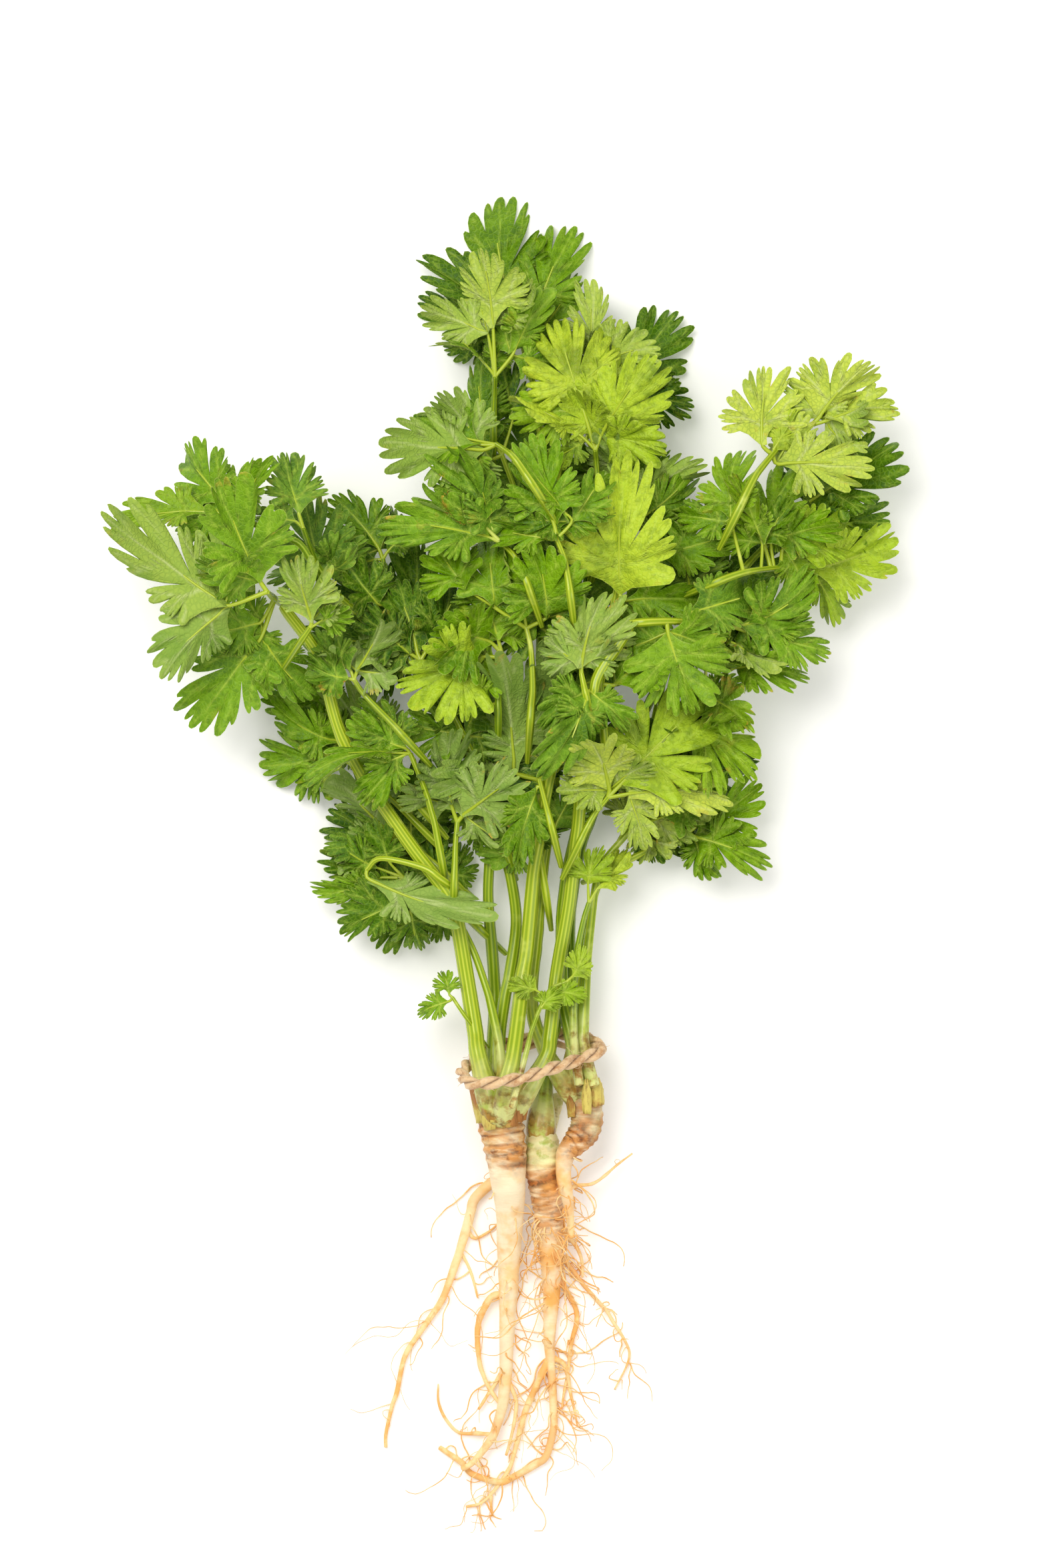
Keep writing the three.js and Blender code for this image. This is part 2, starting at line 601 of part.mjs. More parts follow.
layLeaf("leaf_low_left_back", "plant_left", "leaf", 5, [[-30, 68], [-40, 80], [-48, 90], [-54, 97]],
  [[-56, 97, 177, 20, 11], [-55, 100, 160, 14, 13], [-47, 87, 112, 19, 17, 180]]);
layLeaf("leaf_low_left", "plant_left", "leaf", 7, [[-28, 60], [-40, 72], [-53, 83]],
  [[-56, 85, 200, 19, 17], [-55, 80, 188, 12, 9], [-55, 88, 168, 19, 10]]);
layLeaf("leaf_blue_left", "plant_left", "leafPale", 9, [[-24, 50], [-32, 57], [-38, 60.5]],
  [[-40, 62, 138, 26, 14, 168], [-40, 60, 190, 18, 9]]);
layLeaf("leaf_small_left", "plant_left", "leaf", 5,
  [[-8.3, -16, 13.5], [-8.2, -1.8, 16], [-11, 12.4, 17], [-14, 22.6, 17], [-17.5, 31, 16], [-22, 39, 15],
    [-28, 44, 12], [-36, 49]],
  [[-44, 52, 158, 13, 10], [-43, 49, 212, 18, 9], [-40, 53, 112, 12, 10], [-38, 42, 208, 17, 13],
    [-34, 40, 275, 12, 11]],
  { foot: 1.6 });
layLeaf("leaf_far_right_low", "plant_right", "leaf", 5, [[24, 52], [36, 58], [45, 62]],
  [[48, 64, 26, 21, 15], [47, 61, -16, 19, 13], [46, 65, 62, 13, 11]]);
layLeaf("leaf_right_lower", "plant_right", "leaf", 8, [[28, 80], [38, 92], [47, 102], [55, 107]],
  [[44, 92, -16, 21, 17], [50, 101, -20, 18, 12], [50, 107, 74, 15, 12], [58, 109, 10, 17, 13]]);
layLeaf("leaf_pale_centre", "plant_right", "leafPale", 12, [[4.6, 44], [3, 54], [2.6, 66], [2.4, 77]],
  [[-4, 79, 97, 33, 15, 180], [8, 80, 98, 34, 18, 180], [1.5, 56, 118, 20, 12], [6, 62, 62, 16, 11]]);
layLeaf("leaf_upper_shade", "plant_middle", "leafDeep", 12,
  [[8, 92, 6], [9, 112, 8], [5, 134, 10], [-2, 154, 11], [-8, 170]],
  [[-11, 169, 135, 18, 15], [-12, 176, 110, 21, 12], [-5, 180, 98, 15, 10], [11, 102, 22, 21, 15],
    [7, 118, 150, 24, 17], [8, 122, 40, 22, 16], [0, 146, 30, 20, 14]]);
layLeaf("leaf_top_right", "plant_right", "leafPale", 14, [[18, 136], [22, 150], [25, 159]],
  [[26, 161, 62, 27, 9, 55], [27, 159, 36, 16, 13], [24, 162, 76, 17, 12, 180]]);
layLeaf("leaf_top_round", "plant_right", "leafPale", 16, [[8, 164], [12, 180], [16.5, 195]],
  [[17, 198, 82, 21, 11, 180], [19, 196, 26, 17, 15, 180]]);
layLeaf("leaf_right_mid", "plant_middle", "leaf", 12, [[21, 88, 7], [20, 102, 9], [22, 118, 10], [25, 134], [29, 151]],
  [[30, 154, 53, 20, 12, 180], [32, 152, 30, 19, 10, 25], [36, 141, 12, 24, 13], [24, 104, 40, 23, 16],
    [19, 108, 140, 18, 13], [27, 128, 8, 20, 14]]);

// Stems of the top layer.
layLeaf("leaf_grey_right", "plant_right", "leafPale", 10,
  [[17.9, -10.2, 8.5], [15.4, 0, 11], [16, 21.6, 12], [17.5, 37, 12], [19, 48, 12], [23, 57, 12], [29, 63, 13]],
  [[31, 64, 18, 21, 15, 170], [26, 62, 75, 10, 11, 170], [32, 61, -25, 11, 9, 165], [38, 68, 30, 20, 9]],
  { foot: 2, top: 1.4 });
layStem("stem_left_crossing", "plant_left", [2.2, 1.5], [
  [-3.7, -16, 9.4], [0.4, -10.5, 12], [4.9, -0.8, 15], [6.1, 8.9, 16], [7.4, 19, 17], [8.9, 29, 17],
  [10.6, 38, 17], [12.5, 55, 18], [14.3, 70, 18], [15, 82, 18], [17, 96, 18], [20.5, 109, 21], [28.5, 120.5, 25],
]);
layLeaf("leaf_bright_small", "plant_right", "leafYellow", 10,
  [[14, -9.8, 13], [12.6, 2, 14], [12.6, 19, 15], [13.8, 31, 15], [16.8, 42, 15]],
  [[19, 46, 46, 14, 8], [16.5, 47, 86, 10, 9]],
  { foot: 1.4 });
layStem("stem_left_centre", "plant_left", [2.3, 1.5], [
  [-8, -16, 9.6], [-4.4, 0, 16], [-3.3, 8.9, 17], [-2.3, 19, 17], [-0.8, 29, 17], [0, 37, 18], [0.8, 50, 18],
  [2.5, 60, 20], [4, 70, 21], [6, 80, 22], [8.5, 90, 23], [11.3, 96, 24],
]);
layStem("stem_left_outer", "plant_left", [2.4, 1.6], [
  [-12.7, -16, 9.6], [-14.9, 0, 12], [-15.9, 7, 13], [-17.6, 18, 15], [-19.6, 29, 16], [-21.6, 40, 17],
  [-24.5, 46.5, 18], [-33, 57, 19], [-42, 70, 20], [-50, 82, 21], [-54.5, 92, 22], [-57.3, 102, 23],
  [-59.5, 110, 24], [-63, 118, 25], [-67, 123.5, 26], [-70.5, 126.6, 27],
]);

// Leaves in front.
layLeaf("leaf_fork", "plant_left", "leafPale", 17, [[-21.6, 46], [-21.3, 56], [-20.7, 65]],
  [[-22.5, 70, 100, 20, 15, 180], [-19, 67, 38, 23, 17, 170]]);
layLeaf("leaf_left_stalk", "plant_left", "leaf", 16, [[-25, 53], [-27, 64], [-30.5, 76], [-34, 84.5]],
  [[-34, 85, 205, 13, 9], [-36, 85, 176, 25, 8, 58], [-35, 86, 163, 17, 9, 25]]);
layLeaf("leaf_fold_left", "plant_left", "leafPale", 16,
  [[-25, 48.5], [-31, 52.5], [-37, 55], [-43, 54.6], [-46.5, 51.5]],
  [[-46.5, 49, -28, 36, 13, 160]]);
layLeaf("leaf_centre_down", "plant_right", "leafDeep", 20, [[6.5, 62], [4, 72], [2.6, 77.5]], [[2, 75, 252, 23, 10]]);
layLeaf("leaf_right_low", "plant_left", "leafPale", 18, [[13.5, 58], [17.5, 66], [22, 72]],
  [[22.5, 74, 100, 24, 16, 180], [28, 73, 6, 27, 11, 165], [26, 76, 48, 34, 21]]);
layLeaf("leaf_withered", "plant_left", "leafPale", 20, [[-35, 88.5], [-39, 93], [-45, 99], [-50, 105.5]],
  [[-51, 108, 140, 15, 11], [-49, 108, 58, 18, 10, 160], [-52, 106, 178, 11, 9]]);
layLeaf("leaf_inner_high", "plant_left", "leafPale", 18, [[-57.5, 133.5], [-60, 137], [-64, 148]],
  [[-65, 152, 107, 17, 14], [-66, 150, 170, 11, 8], [-60, 135, 97, 23, 18], [-58, 136, 15, 10, 6, 30]]);
layLeaf("leaf_left_high", "plant_left", "leaf", 22, [[-58.5, 132], [-64, 142.5], [-72, 146.5], [-79, 149.5], [-85, 153]],
  [[-80, 153, 80, 15, 11], [-90, 153, 174, 28, 11, 40], [-86, 155, 132, 21, 16]]);
layLeaf("leaf_pale_upper_left", "plant_left", "leafPale", 22, [[-64.5, 116.5], [-62, 120]],
  [[-61.5, 122, 108, 20, 13, 180], [-60, 121, 28, 10, 8]]);
layLeaf("leaf_left_far", "plant_left", "leafPale", 27, [[-72.5, 128.5], [-74, 130]],
  [[-76, 118, 232, 31, 19], [-76, 122, 200, 19, 13], [-85, 126, 149, 37, 19, 172], [-76, 133, 117, 30, 21, 0]]);
layLeaf("leaf_bright_centre", "plant_left", "leafYellow", 20,
  [[-9, 94.5], [-9, 101], [-8.2, 108], [-8, 113]],
  [[-10.5, 98, 150, 14, 11], [-13, 112, 203, 24, 20], [-11, 116, 160, 20, 17], [-9, 117, 106, 18, 14]]);
layLeaf("leaf_green_centre", "plant_right", "leafDeep", 18, [[0, 92], [1, 108], [-1, 120]],
  [[5, 123, 93, 21, 18], [-18, 131, 127, 15, 14], [-10, 126, 96, 19, 15], [-2, 127, 102, 16, 8, 50]]);
layLeaf("leaf_olive_left", "plant_middle", "leafPale", 18, [[0, 130], [-3, 138], [-8, 144]],
  [[-13, 149, 95, 20, 15], [-10, 145, 163, 28, 15], [-14, 147, 138, 18, 7, 50]]);
layLeaf("leaf_centre_top", "plant_right", "leaf", 22, [[11.5, 128], [10, 138], [7.5, 145]],
  [[6, 145, 171, 17, 10], [7, 148, 108, 26, 16], [12, 150, 128, 24, 10, 45]]);
layLeaf("leaf_upper_left", "plant_middle", "leaf", 20, [[2, 158], [-4, 167], [-9.5, 172]],
  [[-13, 170.5, 176, 28, 18, 172], [-14, 172, 168, 20, 13], [-18, 174, 135, 15, 7, 50]]);
layLeaf("leaf_top_pale", "plant_middle", "leafPale", 22, [[-10.4, 175.5], [-10.2, 184], [-10, 192]],
  [[-5, 198, 66, 23, 11, 30], [-11, 194, 130, 17, 6, 60], [-12, 204, 150, 17, 12, 180], [-10.4, 206, 93, 25, 16, 180]]);
layLeaf("leaf_yellow_top", "plant_right", "leafYellow", 24, [[20.5, 150], [19.6, 160], [18.6, 171]],
  [[16, 174, 138, 22, 9, 45], [20, 175, 60, 25, 18], [15.6, 181, 108, 29, 21]]);
layLeaf("leaf_olive", "plant_left", "leafPale", 24, [[16, 100], [14.5, 107]],
  [[14.5, 109, 82, 19, 18, 180], [17.5, 104.5, 252, 22, 12]]);
layLeaf("leaf_yellow_centre", "plant_right", "leafYellow", 26, [[26, 124], [25.6, 129]],
  [[25.5, 130, 93, 31, 26]]);
layLeaf("leaf_big_right", "plant_left", "leaf", 27, [[30.5, 121.5], [39, 122], [50, 121.5], [58, 120.5]],
  [[39, 119, 286, 23, 22], [56, 117, -32, 15, 8, 150], [68, 117, -4, 17, 12], [60, 121, 12, 22, 16],
    [43, 123.5, 18, 24, 13]]);
layLeaf("leaf_right_fan", "plant_middle", "leaf", 22, [[51.5, 132.5], [58, 135], [66, 137], [76, 137.5]],
  [[57, 150, 94, 19, 13], [80, 137, 11, 25, 15], [72, 143, 24, 25, 15], [66, 144, 108, 20, 8, 45],
    [67, 145, 16, 20, 11], [66, 147, 72, 20, 16]]);
layLeaf("leaf_right_top", "plant_middle", "leafPale", 26, [[58, 151.5], [62, 160], [66, 166], [72, 173], [80, 178]],
  [[68, 169, 58, 14, 9], [70, 167, 4, 24, 15, 172], [66, 172, 96, 23, 18, 180], [84, 179, 24, 18, 13, 170],
    [82, 180, 58, 20, 18, 172]]);

// Two small young shoots from the crown.
layLeaf("shoot_front", "plant_left", "leafYellow", 16,
  [[-5.2, -15.8, 14.5], [-1.9, -4, 18], [0.4, 5.3, 20], [2.8, 13.4, 22], [6, 17.5, 22], [10.4, 19.6, 22]],
  [[3, 12, 60, 7, 6], [2, 17, 160, 8, 6], [7, 17, -6, 9, 6], [12, 21, 55, 9, 7]],
  { foot: 0.9, top: 0.8 });
layLeaf("shoot_left", "plant_left", "leafYellow", 8, [[-17.5, 8.5], [-20, 12], [-22, 15]],
  [[-23, 16, 100, 7, 6], [-23, 14, 195, 10, 6]],
  { foot: 0.8, top: 0.8 });

layTie("twine_tie");

// The origin is the middle of the bunch's footprint, on the table.
const box = new THREE.Box3().setFromObject(bunch);
const middle = box.getCenter(new THREE.Vector3());
bunch.position.set(-middle.x, -middle.y, -box.min.z);

export default bunch;
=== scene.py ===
import math

import bpy
import numpy as np
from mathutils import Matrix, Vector


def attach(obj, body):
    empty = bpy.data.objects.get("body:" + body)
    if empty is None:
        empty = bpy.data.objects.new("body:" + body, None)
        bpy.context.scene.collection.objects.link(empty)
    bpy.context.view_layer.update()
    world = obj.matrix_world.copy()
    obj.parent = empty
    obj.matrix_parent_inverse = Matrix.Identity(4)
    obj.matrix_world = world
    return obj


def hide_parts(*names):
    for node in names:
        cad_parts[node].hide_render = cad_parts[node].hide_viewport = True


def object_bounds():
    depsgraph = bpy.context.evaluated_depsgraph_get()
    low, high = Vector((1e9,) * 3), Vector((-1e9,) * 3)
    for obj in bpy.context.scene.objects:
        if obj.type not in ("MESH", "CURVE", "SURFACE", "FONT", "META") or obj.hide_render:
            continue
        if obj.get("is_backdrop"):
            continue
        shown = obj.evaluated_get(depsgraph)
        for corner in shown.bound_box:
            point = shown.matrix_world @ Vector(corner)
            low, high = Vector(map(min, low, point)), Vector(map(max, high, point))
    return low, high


# THE BUNCH
# Four whole coriander plants, roots and all, lie on a table, tied once round with twine. Routes and
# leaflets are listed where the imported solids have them, in millimetres: across, along, up.
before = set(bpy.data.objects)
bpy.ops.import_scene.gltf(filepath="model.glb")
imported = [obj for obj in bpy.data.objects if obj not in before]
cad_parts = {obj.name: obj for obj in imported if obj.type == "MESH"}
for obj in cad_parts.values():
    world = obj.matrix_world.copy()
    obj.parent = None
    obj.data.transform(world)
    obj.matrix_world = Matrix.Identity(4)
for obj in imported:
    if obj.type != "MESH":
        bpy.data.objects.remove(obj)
cad_low, cad_high = (list(corner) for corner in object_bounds())
MM = 0.001


# ------------------------------------------------------------------------------------------ ROOTS
# Each plant stands on a crown ringed with the scars of old leaves, over a cream taproot with side
# roots and a beard of root hairs. Living tissue, washed clean; dried sheaths cling to the crown.

# (across, along, up, radius) down the taproot, then down each side root
ROOTS = {
    "root_hidden": ([(15.3, -68, 2.7, 1.8), (14.3, -71.9, 2.7, 2), (11.9, -79.7, 2.7, 2.3),
        (10.2, -83.4, 2.6, 2.1), (5.3, -89.8, 2.3, 1.8), (1.5, -91, 2.1, 1.6), (-2.5, -91.9, 2, 1.6),
        (-8.4, -97.2, 1.8, 1.5), (-9.7, -101.1, 1.7, 1.4), (-10.7, -105, 1.7, 1.4), (-13, -112.8, 1.5, 1.2),
        (-14.3, -116.7, 1.3, 1.2), (-17, -124.4, 1.1, 1), (-18.8, -128, 1, 1), (-21.1, -131.3, 1, 0.9),
        (-25.8, -138, 0.8, 0.8), (-28, -141.4, 0.8, 0.8), (-29.4, -145.2, 0.8, 0.7), (-31, -153.2, 0.7, 0.7),
        (-32.3, -157, 0.7, 0.6), (-34.1, -164.9, 0.6, 0.5), (-34.2, -169, 0.6, 0.5)],
        [[(-10.7, -104.8, 1.7, 0.7), (-8.4, -108.9, 0.7, 0.6), (-4.1, -107.3, 0.6, 0.5),
            (-0.7, -104, 0.6, 0.4)],
         [(-12.6, -111.4, 1.5, 0.6), (-10.5, -116, 0.6, 0.5), (-8.9, -121, 0.6, 0.5), (-7.7, -126, 0.6, 0.4)]]),
    "root_middle": ([(10.7, -79.5, 9.9, 4.6), (10.9, -87.6, 9.9, 5.3), (11.6, -91.5, 9.5, 4.9),
        (12.6, -99.3, 7.3, 4.3), (12.7, -103.2, 6.3, 4.1), (13.1, -111.1, 4.7, 3.4),
        (13.4, -115.1, 4.1, 3.1), (13.5, -123.1, 3.2, 2.6), (13.4, -127.1, 2.8, 2.3), (13, -135.2, 2.3, 1.8),
        (12.9, -139.3, 2.1, 1.6), (13.5, -147.3, 1.8, 1.2), (13.8, -151.3, 1.6, 1.2),
        (14.1, -159.4, 1.4, 1.1), (14.1, -163.5, 1.3, 1.1), (12.1, -171.2, 1.2, 1.1),
        (9.1, -173.8, 1.1, 1.1), (2, -177.8, 1, 1), (-1.8, -179, 1, 1), (-9.4, -176.6, 1, 0.9),
        (-12.1, -173.6, 0.9, 0.9), (-18.7, -169, 0.9, 0.7)],
        [[(13.1, -143.3, 1.9, 1.3), (10.6, -147.2, 1.7, 1.2), (6.6, -156.7, 1.4, 1.1), (5, -161.7, 1.2, 1.1),
            (2.2, -171.6, 1, 0.9), (0.2, -176.4, 0.9, 0.9), (-5.7, -184.6, 0.8, 0.7), (-10.7, -186, 0.8, 0.6)],
         [(-4, -183.3, 0.8, 0.7), (-3.7, -186.2, 0.6, 0.5), (-3.2, -189, 0.6, 0.4)],
         [(13.3, -114.6, 4.2, 1.2), (14.8, -119.1, 2.3, 1.1), (19.6, -127.9, 1.3, 1), (20.7, -132.9, 1.2, 1),
             (19.8, -137.9, 1, 0.9), (18.8, -142.9, 0.9, 0.8), (17.3, -152.9, 0.8, 0.6),
             (16.8, -158, 0.8, 0.5)],
         [(12.9, -107.6, 5.4, 1.1), (17.4, -115.5, 2.3, 0.9), (20.4, -119.4, 1.9, 0.8),
             (26.6, -127, 1.2, 0.7), (30, -130.6, 1, 0.7), (34.9, -139, 0.7, 0.6), (35.5, -143.9, 0.7, 0.5),
             (31.3, -152.5, 0.6, 0.4)],
         [(12.6, -100.6, 7, 1), (14.6, -103.3, 3.6, 0.9), (17.4, -107.1, 3.2, 0.9), (20.5, -110.7, 2.9, 0.8),
             (22, -115.2, 2.6, 0.7), (22.3, -120, 2.5, 0.6)],
         [(13.1, -143.3, 1.9, 1), (16.7, -144.9, 1.5, 0.9), (18.3, -149.3, 1.3, 0.8),
             (19.2, -153.9, 1.1, 0.6), (20.3, -158.4, 1, 0.5), (21.3, -163, 0.9, 0.4)]]),
    "root_left": ([(-0.9, -72, 14.1, 6.8), (-0.9, -76.1, 14.2, 6.4), (0.4, -84.1, 14.5, 5.7),
        (0.8, -88.1, 14.5, 5.4), (1.1, -92.1, 14.3, 5), (1.4, -95.8, 12.6, 4.5), (1.6, -103.1, 9.2, 3.9),
        (1.4, -106.9, 7.7, 3.7), (1.3, -110.7, 6.4, 3.5), (1.2, -118.6, 4.5, 3), (1.2, -122.6, 3.9, 2.8),
        (1, -126.7, 3.4, 2.6), (0.9, -130.7, 3.1, 2.4), (0.6, -138.8, 2.6, 2.1), (0.5, -142.8, 2.5, 2),
        (0.4, -146.9, 2.4, 1.9), (-0.3, -155, 2.4, 1.6), (-1.1, -158.9, 2.5, 1.5), (-2.3, -162.8, 2.7, 1.3),
        (-3.9, -166.5, 3, 1.2), (-8.8, -172.8, 3.6, 0.9), (-12.2, -175, 3.6, 0.8)],
        [[(1.1, -124.6, 3.6, 1.3), (-3.2, -125.3, 2.5, 1.2), (-6, -129.3, 2.1, 1.2), (-7.5, -134, 1.9, 1.1),
            (-7.5, -143.7, 1.6, 1), (-5.9, -148.4, 1.6, 1), (-3.8, -152.8, 1.6, 1), (-1.2, -157, 1.6, 0.9)],
         [(0.4, -145.1, 2.4, 0.8), (-2, -149.6, 1.6, 0.8), (-5, -153.8, 1.5, 0.7), (-7.9, -158, 1.4, 0.6)],
         [(-3.2, -165.2, 2.8, 0.8), (-8.1, -165, 1.5, 0.7), (-13.3, -164.7, 1.2, 0.6), (-17, -161.1, 1, 0.6),
             (-18.9, -156.2, 0.9, 0.5), (-19.2, -151, 0.8, 0.4)],
         [(0.4, -145.1, 2.4, 0.9), (1.8, -150.3, 2.2, 0.8), (3.5, -155.4, 2.2, 0.8), (3.2, -160.7, 2.3, 0.7),
             (2, -165.9, 2.3, 0.7), (0.3, -171, 2.3, 0.6)]]),
    "root_right": ([(22.7, -69, 12.5, 4.7), (23.6, -73.1, 12.8, 4.7), (22.9, -77.1, 13.4, 4.4),
        (20.6, -80.5, 14.3, 3.7), (17.8, -83.4, 14.9, 3), (16.9, -87.5, 14.9, 2.3), (17.1, -91.6, 14.6, 2.1),
        (17.9, -95.7, 14, 1.8), (18.5, -99.7, 13.2, 1.4), (18.9, -103.9, 12.6, 1.1), (19.3, -108, 12.3, 0.9)],
        [[(17.6, -94.3, 14.2, 0.8), (20.7, -93.4, 10.4, 0.7), (25, -92.6, 8.3, 0.6), (29, -90.3, 6.3, 0.6),
            (32.8, -87.4, 4.9, 0.5), (36.8, -84.5, 4.3, 0.4)]]),
}

# how green the crown's top is, how brown the crown, how far down the brown goes, hairs, sheaths
ROOT_KINDS = {
    "root_left": (0.12, 0.9, 19, 80, 8), "root_middle": (0.95, 0.9, 30, 260, 0),
    "root_right": (0.35, 1.0, 20, 46, 3), "root_hidden": (0.8, 0.45, 14, 40, 0),
}

ROOT_STEP = 0.45               # millimetres from ring to ring of points down a taproot


def unit(vectors):
    vectors = np.asarray(vectors, dtype=float)
    return vectors / np.maximum(np.linalg.norm(vectors, axis=-1, keepdims=True), 1e-12)


def spaced(path, step):
    """A path as evenly spaced points on a smooth curve through it. Extra columns go along."""
    path = np.asarray(path, dtype=float)
    ends = np.vstack([2 * path[0] - path[1], path, 2 * path[-1] - path[-2]])
    fine = []
    for a, b, c, d in zip(ends, ends[1:], ends[2:], ends[3:]):
        for t in np.linspace(0, 1, 9)[:-1]:
            fine.append(0.5 * (2 * b + (c - a) * t + (2 * a - 5 * b + 4 * c - d) * t * t
                               + (3 * b - a - 3 * c + d) * t ** 3))
    fine.append(path[-1])
    fine = np.array(fine)
    run = np.concatenate([[0], np.cumsum(np.linalg.norm(np.diff(fine[:, :3], axis=0), axis=1))])
    marks = np.linspace(0, run[-1], max(3, int(round(run[-1] / step)) + 1))
    return np.stack([np.interp(marks, run, column) for column in fine.T], axis=1)


def waves(points, seed, per_metre, octaves=3):
    """Smooth made-up unevenness in -1..1, the same each run."""
    rng = np.random.default_rng(seed)
    total, weight = np.zeros(len(points)), 0.0
    for octave in range(octaves):
        for _ in range(4):
            direction = unit(rng.normal(size=3)) * per_metre * 2 * math.pi * 1.9 ** octave
            total += np.sin(points @ direction + rng.uniform(0, 6.28)) / 1.7 ** octave
            weight += 0.55 / 1.7 ** octave
    return np.clip(total / weight, -1, 1)


class Growth:
    """Gathers the surfaces of one piece, in metres, and the marks that its materials colour it by."""

    def __init__(self):
        self.points, self.faces, self.skins, self.marks = [], [], [], {}
        self.count = 0

    def add(self, points, faces, skin=0, **marks):
        points = np.asarray(points, dtype=float)
        for name in sorted(set(self.marks) | set(marks)):
            before = self.marks.setdefault(name, [np.zeros(self.count)])
            before.append(np.broadcast_to(marks.get(name, 0.0), (len(points),)).astype(float))
        self.faces += [[corner + self.count for corner in face] for face in faces]
        self.skins += [skin] * len(faces)
        self.points.append(points)
        self.count += len(points)

    def piece(self, name, materials, crisp=None):
        mesh = bpy.data.meshes.new(name)
        points = np.vstack(self.points)
        points[:, 2] = np.maximum(points[:, 2], 0.0)
        mesh.from_pydata(points, [], self.faces)
        for material in materials:
            mesh.materials.append(material)
        mesh.polygons.foreach_set("material_index", np.array(self.skins, dtype=np.int32))
        mesh.polygons.foreach_set("use_smooth", np.ones(len(self.faces), dtype=bool))
        for label, values in self.marks.items():
            layer = mesh.attributes.new(label, "FLOAT", "POINT")
            layer.data.foreach_set("value", np.concatenate(values).astype(np.float32))
        if crisp:
            mesh.set_sharp_from_angle(angle=math.radians(crisp))
        mesh.validate()
        obj = bpy.data.objects.new(name, mesh)
        bpy.context.scene.collection.objects.link(obj)
        return obj


def frames_along(path):
    """Unit vectors ahead, sideways and upright along a path, without twist."""
    ahead = unit(np.gradient(path, axis=0))
    side = np.cross(ahead[0], [0.0, 0.0, 1.0])
    if np.linalg.norm(side) < 0.1:
        side = np.cross(ahead[0], [1.0, 0.0, 0.0])
    sides = []
    for direction in ahead:
        side = side - direction * np.dot(side, direction)
        side = side / np.linalg.norm(side)
        sides.append(side)
    sides = np.array(sides)
    return ahead, sides, np.cross(sides, ahead)


def add_tube(growth, path, radii, sides, skin=0, shape=None, start=0.0, **marks):
    """A tube along a path, closed at both ends, its section scaled by shape (ring, side). The mark
    along is millimetres from its foot; a mark given as a (ring, side) table is laid out on it."""
    path = np.asarray(path, dtype=float)
    radii = np.broadcast_to(radii, (len(path),))
    ahead, side, upright = frames_along(path)
    angle = np.arange(sides) / sides * 2 * math.pi
    ring = np.cos(angle)[None, :, None] * side[:, None, :] + np.sin(angle)[None, :, None] * upright[:, None, :]
    reach = radii[:, None] * (np.ones((len(path), sides)) if shape is None else shape)
    points = (path[:, None, :] + ring * reach[:, :, None]).reshape(-1, 3)
    faces = []
    for i in range(len(path) - 1):
        for k in range(sides):
            n = (k + 1) % sides
            faces.append([i * sides + k, (i + 1) * sides + k, (i + 1) * sides + n, i * sides + n])
    last = (len(path) - 1) * sides
    foot, tip = len(points), len(points) + 1
    faces += [[foot, k, (k + 1) % sides] for k in range(sides)]
    faces += [[tip, last + (k + 1) % sides, last + k] for k in range(sides)]
    ends = [path[0] - ahead[0] * radii[0] * 0.4, path[-1] + ahead[-1] * radii[-1] * 0.4]
    run = np.concatenate([[0], np.cumsum(np.linalg.norm(np.diff(path, axis=0), axis=1))]) / MM + start
    laid = {"along": np.concatenate([np.repeat(run, sides), [run[0], run[-1]]])}
    for name, value in marks.items():
        value = np.asarray(value, dtype=float)
        if value.ndim == 1:
            value = np.repeat(value[:, None], sides, axis=1)
        laid[name] = value if value.ndim == 0 else np.concatenate([value.reshape(-1), [value[0, 0], value[-1, 0]]])
    growth.add(np.vstack([points, ends]), faces, skin, **laid)


def paint(red, green, blue):
    """A colour as the eye sees it, 0 to 255, as the linear colour that a shader takes."""
    def straight(value):
        value /= 255
        return value / 12.92 if value <= 0.04045 else ((value + 0.055) / 1.055) ** 2.4
    return (straight(red), straight(green), straight(blue), 1.0)


def wire(tree, kind, settings=None, **inputs):
    """Adds a node, sets it up, and plugs values or sockets into its inputs by name, or i0, i1, i2."""
    node = tree.nodes.new(kind)
    for key, value in (settings or {}).items():
        setattr(node, key, value)
    for key, value in inputs.items():
        numbered = key[0] == "i" and key[1:].isdigit()
        socket = node.inputs[int(key[1:])] if numbered else node.inputs[key.replace("_", " ")]
        if isinstance(value, bpy.types.NodeSocket):
            tree.links.new(value, socket)
        else:
            socket.default_value = value
    return node


def mark(tree, name):
    return wire(tree, "ShaderNodeAttribute", {"attribute_name": name}).outputs["Fac"]


def sums(tree, operation, a, b):
    return wire(tree, "ShaderNodeMath", {"operation": operation}, i0=a, i1=b).outputs[0]


def ramp(tree, value, low, high, start=0.0, end=1.0):
    """value from low..high, smoothed to start..end."""
    return wire(tree, "ShaderNodeMapRange", {"interpolation_type": "SMOOTHSTEP"}, Value=value,
                From_Min=low, From_Max=high, To_Min=start, To_Max=end).outputs["Result"]


def blend(tree, amount, first, second):
    node = tree.nodes.new("ShaderNodeMix")
    node.data_type = "RGBA"
    for socket, value in ((node.inputs[0], amount), (node.inputs[6], first), (node.inputs[7], second)):
        if isinstance(value, bpy.types.NodeSocket):
            tree.links.new(value, socket)
        else:
            socket.default_value = value
    return node.outputs[2]


